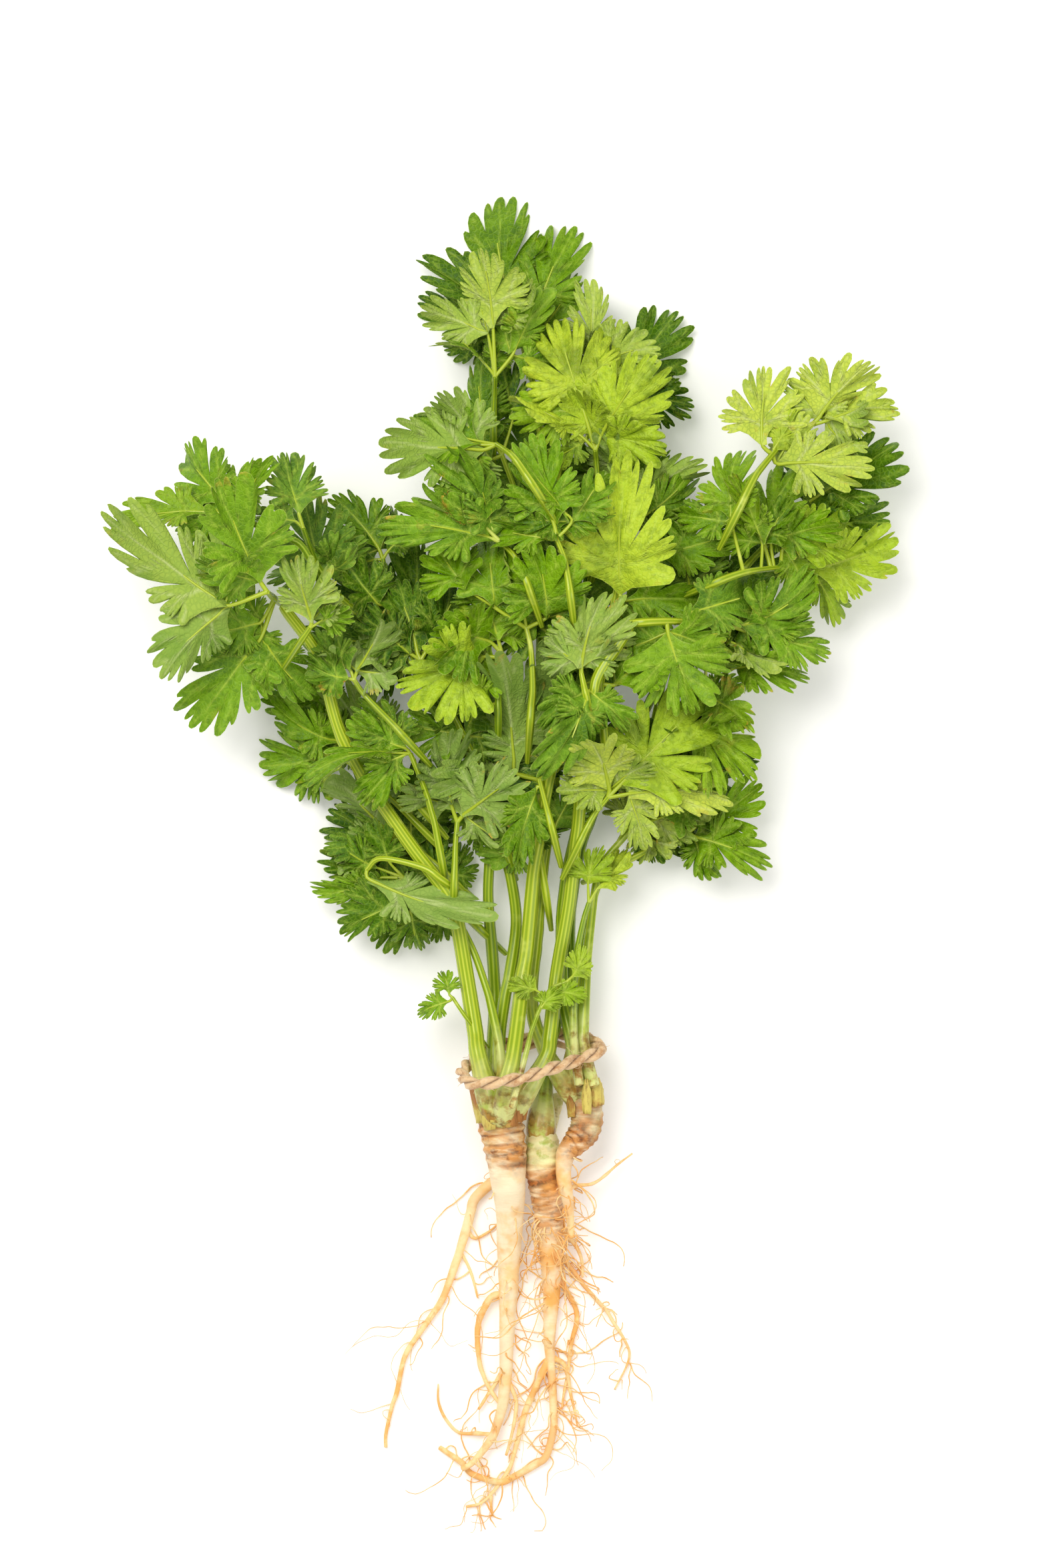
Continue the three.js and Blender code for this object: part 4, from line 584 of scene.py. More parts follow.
# node: (ripeness, grey bloom, damage, stalk as (across, along, up, radius) from its foot,
#        leaflets as (across, along, up, heading, tilt, roll in degrees, length, width) at their feet)
LEAVES = {
    "leaf_under_right": (0.1, 0, 0.1, [(15.9, -66, 9.8, 1.5), (18.8, -54.5, 10.3, 1.4),
        (19.7, -48.6, 10.8, 1.4), (20.9, -36.8, 12.1, 1.4), (22.6, -25, 11.9, 1.3), (23.5, -19.2, 10.9, 1.3),
        (26.7, -7.9, 9.4, 1.2), (31.7, 3, 9.2, 1.1), (34.5, 8.2, 9.4, 1.1), (41.3, 18, 9.8, 1.1)],
        [(44.3, 22, 9.8, 18, -6, 0, 26, 20), (41.3, 21, 10, 78, 27, 0, 24, 18),
            (43.3, 18, 10.1, -32, 3, 0, 20, 15), (35.3, 8, 9.8, -5, 15, 0, 18, 13)]),
    "leaf_under_left": (0.12, 0.1, 0.1, [(-6.7, -20, 11.1, 1.3), (-10.8, -16, 10.1, 1.3),
        (-14.5, -12.2, 7.5, 1.2), (-22.5, -4.2, 3.7, 1.1), (-26.7, 0, 3, 1.1)],
        [(-29.7, 3, 3, 150, 6, 0, 24, 18), (-27.7, 0, 3.2, -165, 18, 0, 22, 15),
            (-26.7, 3, 3.4, 95, 12, 0, 24, 17), (-18.7, -10, 6.8, -160, 6, 0, 20, 15),
            (-16.7, -7, 6.3, 125, 9, 0, 18, 13)]),
    "leaf_under_left_top": (0.12, 0, 0.1, [(-6.7, 30, 1.3, 1.3), (-13.4, 40.7, 1.5, 1.2),
        (-16.7, 46, 1.7, 1.2), (-20.1, 51.3, 2, 1.1), (-26.7, 62, 2.6, 1.1)],
        [(-29.7, 65, 2.6, 130, 6, 0, 28, 20), (-26.7, 65, 2.8, 80, 12, 0, 24, 18),
            (-28.7, 62, 2.9, 178, 18, 0, 24, 17)]),
    "leaf_under_right_top": (0.1, 0, 0.1, [(43.3, 42, 20.6, 1.3), (44.6, 47.9, 20.6, 1.3),
        (45.9, 53.9, 20.3, 1.2), (51, 64.9, 20.2, 1.1), (54.3, 70, 20.2, 1.1)],
        [(56.3, 73, 20.2, 38, -3, 0, 28, 20), (53.3, 73, 20.4, 92, 15, 0, 24, 18),
            (56.3, 70, 20.6, -12, 6, 0, 24, 16)]),
    "leaf_under_top": (0.1, 0, 0.1, [(10.3, 58, 1.3, 1.3), (10.2, 70, 1.5, 1.2), (10.2, 76, 1.7, 1.2),
        (10.5, 82, 2, 1.1), (11.3, 94, 2.6, 1.1)],
        [(11.3, 97, 2.6, 92, 6, 0, 30, 20), (8.3, 95, 2.8, 145, 18, 0, 26, 19),
            (14.3, 95, 2.9, 40, 9, 0, 26, 19)]),
    "leaf_top_back": (0.2, 0, 0.1, [(11.3, 112, 5.2, 1.3), (10.8, 117.7, 5.1, 1.3), (9.7, 129, 4.7, 1.2),
        (8.8, 134.6, 4.8, 1.2), (5.8, 145.5, 5.7, 1.1), (4.3, 151, 5.9, 1.1)],
        [(2.3, 157, 5.9, 106, 3, 0, 32, 21), (-0.7, 155, 6.1, 141, 18, 0, 24, 15),
            (-1.7, 151, 6.3, 152, 0, 0, 25, 13), (8.3, 155, 6.5, 72, 6, 0, 25, 16),
            (9.3, 151, 5.9, 46, 24, 0, 17, 12)]),
    "leaf_top_right_back": (0.12, 0, 0.1, [(23.3, 102, 5.8, 1.3), (24.9, 108.1, 5.8, 1.3),
        (26.5, 114.3, 6, 1.2), (30.7, 126.2, 7.1, 1.1), (33.3, 132, 7.6, 1.1)],
        [(33.3, 135, 7.6, 58, -3, 0, 26, 20), (36.3, 132, 7.8, 8, 3, 0, 17, 13)]),
    "leaf_right_back": (0.12, 0, 0.1, [(67.3, 82, 20.2, 1.3), (71.3, 86.6, 19.8, 1.2),
        (79.6, 95.1, 16.9, 1.1), (84.3, 99, 15.9, 1.1)],
        [(86.3, 102, 15.9, 36, -6, 0, 28, 18), (87.3, 98, 16.1, -8, 0, 0, 21, 10)]),
    "leaf_left_inner": (0.2, 0, 0.1, [(-23.7, 52, 26.8, 1.3), (-29.9, 63.2, 26.8, 1.2),
        (-32.1, 68.9, 25.4, 1.2), (-33.4, 74.3, 22.2, 1.1), (-34.7, 86, 17.5, 1.1)],
        [(-35.7, 89, 17.5, 122, -6, 0, 19, 14), (-33.7, 88, 17.6, 50, 0, 0, 12, 9),
            (-36.7, 86, 17.8, -168, -6, 0, 12, 8), (-35.7, 73, 24, 133, 24, 0, 16, 12)]),
    "leaf_shade_left": (0.18, 0.1, 0.2, [(0.3, 4, 20.7, 1.3), (-3.4, 15.4, 20.9, 1.3), (-5.3, 21, 21.3, 1.2),
        (-9.9, 32, 22.8, 1.2), (-14.9, 42.3, 26.1, 1.1), (-17.7, 47.1, 28.4, 1.1), (-23.7, 57, 30.4, 1.1)],
        [(-24.7, 59, 30.4, 100, -3, 0, 21, 16), (-21.7, 60, 30.5, 62, 6, 0, 22, 14),
            (-26.7, 59, 30.7, 142, 12, 0, 18, 12), (-2.7, 13, 21.3, 165, -6, 0, 20, 15),
            (-3.4, 21.5, 21.4, 48, -6, 0, 24, 17), (-11.1, 35.7, 23.7, 70, -6, 0, 22, 16),
            (-11.8, 36, 23.9, 172, -6, 0, 17, 12)]),
    "leaf_low_left_back": (0.4, 0.1, 0.2, [(-22.7, 14, 18.2, 1.3), (-26.2, 18.2, 17.2, 1.3),
        (-32.6, 25.8, 11.2, 1.2), (-35.9, 29.9, 8.7, 1.2), (-42.9, 38.6, 5.8, 1.1), (-46.7, 43, 5.3, 1.1)],
        [(-48.7, 43, 5.3, 177, 0, 0, 20, 11), (-47.7, 46, 5.4, 160, 15, 0, 14, 13),
            (-39.7, 33, 7.8, 112, -6, 180, 19, 17)]),
    "leaf_low_left": (0.42, 0.1, 0.3, [(-20.7, 6, 9.8, 1.3), (-28.7, 14.1, 9.6, 1.2), (-32.7, 18, 9.3, 1.2),
        (-37, 21.8, 9.1, 1.1), (-45.7, 29, 9, 1.1)],
        [(-48.7, 31, 9, -160, -6, 0, 19, 17), (-47.7, 26, 9.2, -172, 9, 0, 12, 9),
            (-47.7, 34, 9.4, 168, 9, 0, 19, 10)]),
    "leaf_blue_left": (0.22, 0.95, 0.3, [(-16.7, -4, 8.7, 1.3), (-21.1, -0.1, 8.7, 1.2),
        (-25.6, 3.6, 8.7, 1.1), (-30.7, 6.5, 8.7, 1.1)],
        [(-32.7, 8, 8.7, 138, 3, 168, 26, 14), (-32.7, 6, 8.8, -170, 18, 0, 18, 9)]),
    "leaf_small_left": (0.3, 0.1, 0.1, [(-1, -70, 26.2, 1.6), (-0.8, -58.3, 26.1, 1.5),
        (-1.4, -52.4, 25.4, 1.5), (-3.7, -41.5, 21.9, 1.4), (-5.2, -36.1, 20.2, 1.3),
        (-9.1, -25.3, 17.5, 1.3), (-14.6, -15.1, 15.6, 1.2), (-18.9, -11.3, 14.6, 1.1), (-28.7, -5, 13, 1.1)],
        [(-36.7, -2, 13, 158, 15, 0, 13, 10), (-35.7, -5, 13.1, -148, -3, 0, 18, 9),
            (-32.7, -1, 13.3, 112, 18, 0, 12, 10), (-30.7, -12, 13.5, -152, 6, 0, 17, 13),
            (-26.7, -14, 13.7, -85, -6, 0, 12, 11)]),
    "leaf_far_right_low": (0.5, 0, 0.1, [(31.3, -2, 13.2, 1.3), (36.5, 0.6, 13.3, 1.2),
        (46.9, 5.7, 13.7, 1.1), (52.3, 8, 13.8, 1.1)],
        [(55.3, 10, 13.8, 26, -6, 0, 21, 15), (54.3, 7, 14, -16, 27, 0, 19, 13),
            (53.3, 11, 14.2, 62, 12, 0, 13, 11)]),
    "leaf_right_lower": (0.55, 0.2, 0.8, [(35.3, 26, 23.5, 1.3), (38.9, 30.4, 23.8, 1.3),
        (46.1, 38.9, 25.5, 1.2), (49.7, 43.3, 25.6, 1.2), (57.5, 50.3, 22.2, 1.1), (62.3, 53, 20.7, 1.1)],
        [(51.3, 38, 25.7, -16, -6, 0, 21, 17), (57.3, 47, 22.8, -20, 30, 0, 18, 12),
            (57.3, 53, 23, 74, 9, 0, 15, 12), (65.3, 55, 21.3, 10, 18, 0, 17, 13)]),
    "leaf_pale_centre": (0.35, 0.5, 0.5, [(11.9, -10, 18.7, 1.3), (10.2, 1.2, 19, 1.2), (10, 6.8, 19.4, 1.2),
        (9.9, 12.3, 20.3, 1.1), (9.7, 23, 23.6, 1.1)],
        [(3.3, 25, 23.6, 97, 0, 180, 33, 15), (15.3, 26, 23.7, 98, 6, 180, 34, 18),
            (8.1, 3.2, 19.4, 118, 30, 0, 20, 12), (13.8, 8.9, 20.4, 62, 0, 0, 16, 11)]),
    "leaf_upper_shade": (0.15, 0.1, 0.1, [(15.3, 38, 31.6, 1.3), (16.2, 49.7, 32.1, 1.3),
        (16.4, 55.6, 32.3, 1.3), (15.4, 65.9, 29.3, 1.2), (13.8, 73.9, 20.8, 1.2), (12.7, 78.4, 17.1, 1.2),
        (9.6, 88.5, 12.3, 1.1), (5.5, 99.5, 11.2, 1.1), (3.4, 105, 11.3, 1.1), (-0.7, 116, 11.6, 1.1)],
        [(-3.7, 115, 11.6, 135, -6, 0, 18, 15), (-4.7, 122, 11.8, 110, 3, 0, 21, 12),
            (2.3, 126, 11.9, 98, 9, 0, 15, 10), (18.5, 48.1, 32.7, 22, -6, 0, 21, 15),
            (14.3, 64, 31, 150, -6, 0, 24, 17), (16, 68.6, 26, 40, -6, 0, 22, 16),
            (8.5, 92.7, 12.2, 30, 0, 0, 20, 14)]),
    "leaf_top_right": (0.4, 0.4, 0.3, [(25.3, 82, 24.6, 1.3), (27.1, 88.3, 23.7, 1.2),
        (30.3, 99.2, 16.6, 1.1), (32.3, 105, 14.2, 1.1)],
        [(33.3, 107, 14.2, 62, -3, 55, 27, 9), (34.3, 105, 14.4, 36, 24, 0, 16, 13),
            (31.3, 108, 14.5, 76, 27, 180, 17, 12)]),
    "leaf_top_round": (0.5, 0.3, 0.2, [(15.3, 110, 5.4, 1.3), (18, 121.2, 6.5, 1.2), (19.4, 126.6, 7.9, 1.2),
        (20.9, 131.6, 10.3, 1.1), (23.8, 141, 15.6, 1.1)],
        [(24.3, 144, 15.6, 82, -6, 180, 21, 11), (26.3, 142, 15.8, 26, 3, 180, 17, 15)]),
    "leaf_right_mid": (0.45, 0.1, 0.2, [(28.3, 34, 35.7, 1.3), (27.3, 46, 36, 1.3), (27.5, 52, 35.9, 1.2),
        (29.2, 63.8, 34.7, 1.2), (30.2, 69.3, 32.4, 1.2), (32.4, 80.3, 28.3, 1.1), (33.6, 86, 26.7, 1.1),
        (36.3, 97, 22.9, 1.1)],
        [(37.3, 100, 22.9, 53, -6, 180, 20, 12), (39.3, 98, 23.1, 30, 18, 25, 19, 10),
            (43.3, 87, 25.1, 12, 9, 0, 24, 13), (31.3, 50, 36.5, 40, -6, 0, 23, 16),
            (25.8, 54.4, 35.7, 140, 3, 0, 18, 13), (34.3, 74, 29.6, 8, -6, 0, 20, 14)]),
    "leaf_grey_right": (0.6, 0.5, 0.9, [(25.2, -64.2, 19.4, 2), (22.6, -52.6, 19, 1.9),
        (22.5, -46.7, 18.2, 1.9), (23.1, -35, 16.5, 1.8), (23.5, -29, 15.9, 1.7), (24.8, -17.2, 14.9, 1.6),
        (26.4, -5.5, 14, 1.5), (28.6, 0, 13.7, 1.5), (36.3, 9, 13.5, 1.4)],
        [(38.3, 10, 13.5, 18, 9, 170, 21, 15), (33.9, 10.4, 13.7, 75, 9, 170, 10, 11),
            (39.3, 7, 13.8, -25, 24, 165, 11, 9), (45.3, 14, 14, 30, 30, 0, 20, 9)]),
    "leaf_bright_small": (0.75, 0, 0.1, [(21.3, -63.8, 21.7, 1.4), (19.9, -52.2, 21.7, 1.3),
        (19.7, -46.4, 21.7, 1.3), (19.7, -40.6, 21.3, 1.2), (20.3, -29, 20.9, 1.2), (22.4, -17.6, 21.1, 1.1),
        (24.1, -12, 21.2, 1.1)],
        [(26.3, -8, 21.2, 46, -6, 0, 14, 8), (23.8, -7, 21.3, 86, 27, 0, 10, 9)]),
    "leaf_fork": (0.35, 0.7, 0.9, [(-14.3, -8, 22.8, 1.3), (-14.1, -1.7, 22.6, 1.2), (-13.9, 4.7, 22.2, 1.1),
        (-13.4, 11, 21.9, 1.1)],
        [(-15.2, 16, 21.9, 100, 9, 180, 20, 15), (-11.7, 13, 22.1, 38, 27, 170, 23, 17)]),
    "leaf_left_stalk": (0.35, 0.1, 0.2, [(-17.7, -1, 22, 1.3), (-19.7, 9.8, 23.2, 1.2),
        (-21.1, 15.1, 24.4, 1.2), (-22.6, 20.2, 25.6, 1.1), (-26.7, 30.5, 25.9, 1.1)],
        [(-27.6, 30.6, 25.9, -155, 3, 0, 13, 9), (-28.7, 31, 26.1, 176, 21, 58, 25, 8),
            (-27.7, 32, 26.3, 163, 6, 25, 17, 9)]),
    "leaf_fold_left": (0.25, 0.95, 0.4, [(-17.7, -5.5, 23.1, 1.3), (-23.1, -1.9, 23.1, 1.2),
        (-35.1, 0.7, 20.8, 1.1), (-39.2, -2.5, 17.5, 1.1)],
        [(-39.2, -5, 17.5, -28, 18, 160, 36, 13)]),
    "leaf_centre_down": (0.18, 0, 0.1, [(13.8, 8, 31.7, 1.3), (12.5, 13.2, 31.8, 1.2),
        (11.2, 18.3, 31.9, 1.1), (9.9, 23.5, 32, 1.1)],
        [(9.3, 21, 32, -108, 9, 0, 23, 10)]),
    "leaf_right_low": (0.78, 0.1, 0.3, [(20.8, 4, 30.9, 1.3), (23.2, 9, 30.9, 1.2), (25.9, 13.8, 30.3, 1.1),
        (29.3, 18, 28.7, 1.1)],
        [(29.8, 20, 28.7, 100, 30, 180, 24, 16), (35.3, 19, 28.9, 6, -6, 165, 27, 11),
            (33.3, 22, 29, 48, 6, 0, 34, 21)]),
    "leaf_withered": (0.3, 0.8, 0.9, [(-27.7, 34.5, 32.4, 1.3), (-31.7, 38.9, 31.6, 1.2),
        (-39.7, 47.2, 27.6, 1.1), (-42.7, 51.5, 30, 1.1)],
        [(-43.7, 54, 30, 140, 6, 0, 15, 11), (-41.7, 54, 30.2, 58, 27, 160, 18, 10),
            (-44.7, 52, 30.3, 178, 18, 0, 11, 9)]),
    "leaf_inner_high": (0.2, 0.9, 0.2, [(-50.2, 79.5, 29.8, 1.3), (-53.4, 84.3, 31.6, 1.2),
        (-55.6, 90.5, 41.8, 1.1), (-56.7, 94, 45.6, 1.1)],
        [(-57.7, 98, 45.6, 107, -6, 0, 17, 14), (-58.7, 96, 45.8, 170, 6, 0, 11, 8),
            (-52.7, 81, 30.1, 97, -6, 0, 23, 18), (-50.2, 82.1, 30.3, 15, 15, 30, 10, 6)]),
    "leaf_left_high": (0.5, 0.15, 0.3, [(-51.2, 78, 47.8, 1.3), (-56.9, 88.7, 50.2, 1.2),
        (-62.2, 91.5, 52, 1.2), (-73.1, 96.2, 50.6, 1.1), (-74.5, 97, 44.5, 1.1), (-77.7, 99, 32.9, 1.1)],
        [(-72.7, 99, 46.3, 80, 21, 0, 15, 11), (-82.7, 99, 33, 174, -6, 40, 28, 11),
            (-78.7, 101, 33.2, 132, -6, 0, 21, 16)]),
    "leaf_pale_upper_left": (0.4, 0.4, 0.3, [(-57.2, 62.5, 42.7, 1.3), (-55.9, 64.3, 43.7, 1.2),
        (-54.7, 66, 45, 1.1)],
        [(-54.2, 68, 45, 108, 30, 180, 20, 13), (-52.7, 67, 45.1, 28, -6, 0, 10, 8)]),
    "leaf_left_far": (0.45, 0.35, 0.4, [(-65.2, 74.5, 31.8, 1.3), (-65.9, 75.2, 37.6, 1.2),
        (-66.2, 75.5, 43.5, 1.1), (-66.7, 76, 49, 1.1)],
        [(-68.7, 64, 31.8, -128, -6, 0, 31, 19), (-68.7, 68, 32, -160, 9, 0, 19, 13),
            (-77.7, 72, 49.3, 149, -6, 172, 37, 19), (-68.7, 79, 49.5, 117, 30, 0, 30, 21)]),
    "leaf_bright_centre": (0.66, 0, 0.2, [(-1.7, 40.5, 29.8, 1.3), (-1.7, 46.7, 30, 1.2),
        (-1.1, 52.8, 30.3, 1.1), (-0.7, 59, 30.6, 1.1)],
        [(-3.9, 44.4, 30, 150, 12, 0, 14, 11), (-5.7, 58, 30.8, -157, 18, 0, 24, 20),
            (-3.7, 62, 30.9, 160, 24, 0, 20, 17), (-1.7, 63, 31.1, 106, 12, 0, 18, 14)]),
    "leaf_green_centre": (0.42, 0, 0.1, [(7.3, 38, 34, 1.3), (7.7, 43.6, 34.3, 1.3), (8.1, 49.3, 35, 1.2),
        (7.5, 60.5, 36.3, 1.1), (6.3, 66, 35.9, 1.1)],
        [(12.3, 69, 35.9, 93, 30, 0, 21, 18), (-10.7, 77, 36.1, 127, -6, 0, 15, 14),
            (-2.7, 72, 36.2, 96, -3, 0, 19, 15), (5.3, 73, 36.4, 102, -6, 50, 16, 8)]),
    "leaf_olive_left": (0.4, 0.6, 0.9, [(7.3, 76, 43.9, 1.3), (5.3, 81.6, 43.9, 1.2), (2.7, 86.5, 43, 1.1),
        (-0.7, 90, 39.8, 1.1)],
        [(-5.7, 95, 39.8, 95, -6, 0, 20, 15), (-2.7, 91, 40, 163, 15, 0, 28, 15),
            (-6.7, 93, 40.2, 138, -6, 50, 18, 7)]),
    "leaf_centre_top": (0.35, 0.1, 0.2, [(18.8, 74, 44.6, 1.3), (18, 79.8, 44.7, 1.2), (16.9, 85.6, 45, 1.1),
        (14.8, 91, 45.4, 1.1)],
        [(13.3, 91, 45.4, 171, 3, 0, 17, 10), (14.3, 94, 45.5, 108, -6, 0, 26, 16),
            (19.3, 96, 45.7, 128, 15, 45, 24, 10)]),
    "leaf_upper_left": (0.38, 0.1, 0.2, [(9.3, 104, 53.1, 1.3), (6, 109, 53.1, 1.3), (2.6, 113.8, 52.6, 1.2),
        (-0.4, 116.6, 42.4, 1.1), (-2.2, 118, 37.1, 1.1)],
        [(-5.7, 116.5, 37.1, 176, 3, 172, 28, 18), (-6.7, 118, 37.3, 168, -6, 0, 20, 13),
            (-10.7, 120, 37.4, 135, -6, 50, 15, 7)]),
    "leaf_top_pale": (0.5, 0.3, 0.2, [(-3.1, 121.5, 14.8, 1.3), (-3, 127.9, 15.3, 1.2),
        (-2.8, 133.8, 17.4, 1.1), (-2.7, 138, 21.6, 1.1)],
        [(2.3, 144, 21.6, 66, -6, 30, 23, 11), (-3.7, 140, 21.8, 130, -6, 60, 17, 6),
            (-4.7, 150, 21.9, 150, -3, 180, 17, 12), (-3.1, 152, 22.1, 93, 6, 180, 25, 16)]),
    "leaf_yellow_top": (0.85, 0, 0.2, [(27.8, 96, 22.1, 1.3), (27.3, 101.7, 21.6, 1.2),
        (26.3, 112.7, 21.1, 1.1), (25.9, 117, 24.4, 1.1)],
        [(23.3, 120, 24.4, 138, -6, 45, 22, 9), (27.3, 121, 24.6, 60, 27, 0, 25, 18),
            (22.9, 127, 24.7, 108, -3, 0, 29, 21)]),
    "leaf_olive": (0.45, 0.6, 0.9, [(23.3, 46, 42.6, 1.3), (22.5, 49.5, 42.1, 1.2), (21.8, 53, 41.2, 1.1)],
        [(21.8, 55, 41.2, 82, 12, 180, 19, 18), (24, 48.2, 42.3, -108, 27, 0, 22, 12)]),
    "leaf_yellow_centre": (1, 0, 0.25, [(33.3, 70, 33, 1.3), (33.1, 72.5, 33, 1.2), (32.9, 75, 32.9, 1.1)],
        [(32.8, 76, 32.9, 93, 30, 0, 31, 26)]),
    "leaf_big_right": (0.5, 0.35, 0.3, [(37.8, 67.5, 39.9, 1.3), (43.6, 67.9, 38.6, 1.3),
        (48.9, 68, 35.2, 1.2), (59.8, 67.3, 29, 1.1), (65.3, 66.5, 26.6, 1.1)],
        [(46.3, 65, 37.8, -74, 0, 0, 23, 22), (63.8, 62.7, 26.8, -32, -6, 150, 15, 8),
            (75.3, 63, 26.9, -4, 0, 0, 17, 12), (67.3, 67, 27.1, 12, 12, 0, 22, 16),
            (51.7, 70, 33.6, 18, 0, 0, 24, 13)]),
    "leaf_right_fan": (0.62, 0, 0.3, [(58.8, 78.5, 34.6, 1.3), (64.3, 80.7, 34.5, 1.3),
        (69.5, 82.2, 32.6, 1.2), (78.2, 83.5, 24.9, 1.1), (83.3, 83.5, 22.2, 1.1)],
        [(64.3, 96, 34.4, 94, -6, 0, 19, 13), (87.3, 83, 22.3, 11, -6, 0, 25, 15),
            (79.3, 89, 26.3, 24, -6, 0, 25, 15), (73.3, 90, 31.5, 108, 24, 45, 20, 8),
            (75.7, 91.4, 26, 16, 21, 0, 20, 11), (73.3, 93, 26.1, 72, -6, 0, 20, 16)]),
    "leaf_right_top": (0.72, 0.1, 0.5, [(65.3, 97.5, 39.8, 1.3), (70.3, 107.7, 38.4, 1.2),
        (72.6, 111.2, 34.5, 1.2), (77.5, 117.1, 25.8, 1.1), (80.5, 120.1, 21.8, 1.1), (87.3, 124, 25.6, 1.1)],
        [(76.3, 116.7, 27.5, 58, -6, 0, 14, 9), (77.3, 113, 27.7, 4, -3, 172, 24, 15),
            (73.3, 118, 27.9, 96, -6, 180, 23, 18), (91.3, 125, 26.1, 24, -6, 170, 18, 13),
            (89.3, 126, 25.6, 58, 15, 172, 20, 18)]),
    "shoot_front": (0.66, 0, 0, [(2.1, -69.8, 32.8, 0.9), (3.7, -64.1, 32.6, 0.9), (6.6, -52.9, 30.1, 0.9),
        (8, -47.5, 27.9, 0.8), (12.5, -37.2, 24.6, 0.8), (17.7, -34.4, 24.1, 0.8)],
        [(10.3, -42, 26.6, 60, -6, 0, 7, 6), (9.3, -37, 25, 160, 6, 0, 8, 6),
            (14.3, -37, 25.2, -6, 0, 0, 9, 6), (19.3, -33, 24.6, 55, 0, 0, 9, 7)]),
    "shoot_left": (0.6, 0, 0, [(-10.2, -45.5, 24.1, 0.8), (-12.5, -42.3, 24.1, 0.8), (-14.7, -39, 23.3, 0.8)],
        [(-15.7, -38, 23.3, 100, -6, 0, 7, 6), (-15.7, -40, 23.4, -165, -6, 0, 10, 6)]),
}

BLADE_THICKNESS = 0.26 * MM
SPARE_FROM = 16                # a leaflet at least this long may have spare ones beside it
SPARE_CHANCE = 0.8

leaf_skin, tree, shader = fresh_material("coriander leaf")
upper, vein, margin, tone, ripe, bloom, hurt = (
    mark(tree, name) for name in ("upper", "vein", "margin", "tone", "ripe", "bloom", "hurt"))
fresh = blend(tree, ramp(tree, ripe, 0.05, 0.5), paint(38, 80, 0), paint(112, 156, 0))
fresh = blend(tree, ramp(tree, ripe, 0.5, 0.85), fresh, paint(186, 206, 52))
fresh = blend(tree, ramp(tree, ripe, 0.88, 1.0), fresh, paint(214, 214, 102))
fresh = blend(tree, sums(tree, "MULTIPLY", bloom, 0.72), fresh, paint(104, 142, 54))
fresh = blend(tree, sums(tree, "MULTIPLY", tone, 0.3), fresh, paint(138, 182, 4))
shadowed = blend(tree, 0.5, fresh, paint(24, 70, 0))
fresh = blotched(tree, fresh, shadowed, 60.0, 0.42)
fresh = blend(tree, sums(tree, "MULTIPLY", vein, 0.62), fresh, paint(190, 214, 84))
under = blend(tree, ramp(tree, ripe, 0.25, 0.85), paint(142, 172, 64), paint(198, 214, 76))
under = blend(tree, sums(tree, "MULTIPLY", bloom, 0.45), under, paint(140, 166, 92))
under = blotched(tree, under, blend(tree, 0.4, under, paint(84, 132, 26)), 90.0, 0.4)
net = wire(tree, "ShaderNodeTexVoronoi", {"feature": "DISTANCE_TO_EDGE"},
           Vector=wire(tree, "ShaderNodeTexCoord").outputs["Object"], Scale=700.0).outputs["Distance"]
net = ramp(tree, net, 0.2, 0.0)
under = blend(tree, sums(tree, "MULTIPLY", net, 0.3), under, paint(120, 156, 66))
under = blend(tree, sums(tree, "MULTIPLY", vein, 0.5), under, paint(216, 226, 160))
fresh = blend(tree, sums(tree, "MULTIPLY", net, 0.22), fresh, paint(160, 200, 50))
fresh = blotched(tree, fresh, blend(tree, 0.3, fresh, paint(30, 78, 0)), 420.0, 0.45)
colour = blend(tree, upper, under, fresh)
colour = blend(tree, ramp(tree, margin, 0.3, 0.0, 0.0, 0.35), colour, paint(200, 214, 110))
spot = ramp(tree, speckle(tree, 150.0, 4.0, 0.62), 0.6, 0.68)
spot = sums(tree, "MULTIPLY", spot, sums(tree, "MULTIPLY", ramp(tree, margin, 4.0, 0.0, 0.2, 1.0), hurt))
colour = blend(tree, spot, colour, blotched(tree, paint(206, 172, 66), paint(140, 84, 36), 420.0, 0.42))
rough = sums(tree, "ADD", ramp(tree, upper, 0.0, 1.0, 0.66, 0.46), sums(tree, "MULTIPLY", bloom, 0.12))
height = sums(tree, "ADD", sums(tree, "MULTIPLY", vein, ramp(tree, upper, 0.0, 1.0, 1.0, -0.8)),
              sums(tree, "MULTIPLY", net, ramp(tree, upper, 0.0, 1.0, 0.3, -0.3)))
plug_in(tree, shader, colour, rough, height, 0.9, 0.35 * MM)
shader.inputs["Specular IOR Level"].default_value = 0.22


def shares(rng, count, low, high, uneven=0.16):
    """Cuts a span into count unequal parts."""
    size = 1 + rng.normal(size=count) * uneven
    size = np.clip(size, 0.6, 1.5)
    return low + (high - low) * np.concatenate([[0], np.cumsum(size / size.sum())])


HEART = np.array([0.0, 0.29])  # where a leaflet's main veins part, its foot at 0, 0 and its tip at 0, 1


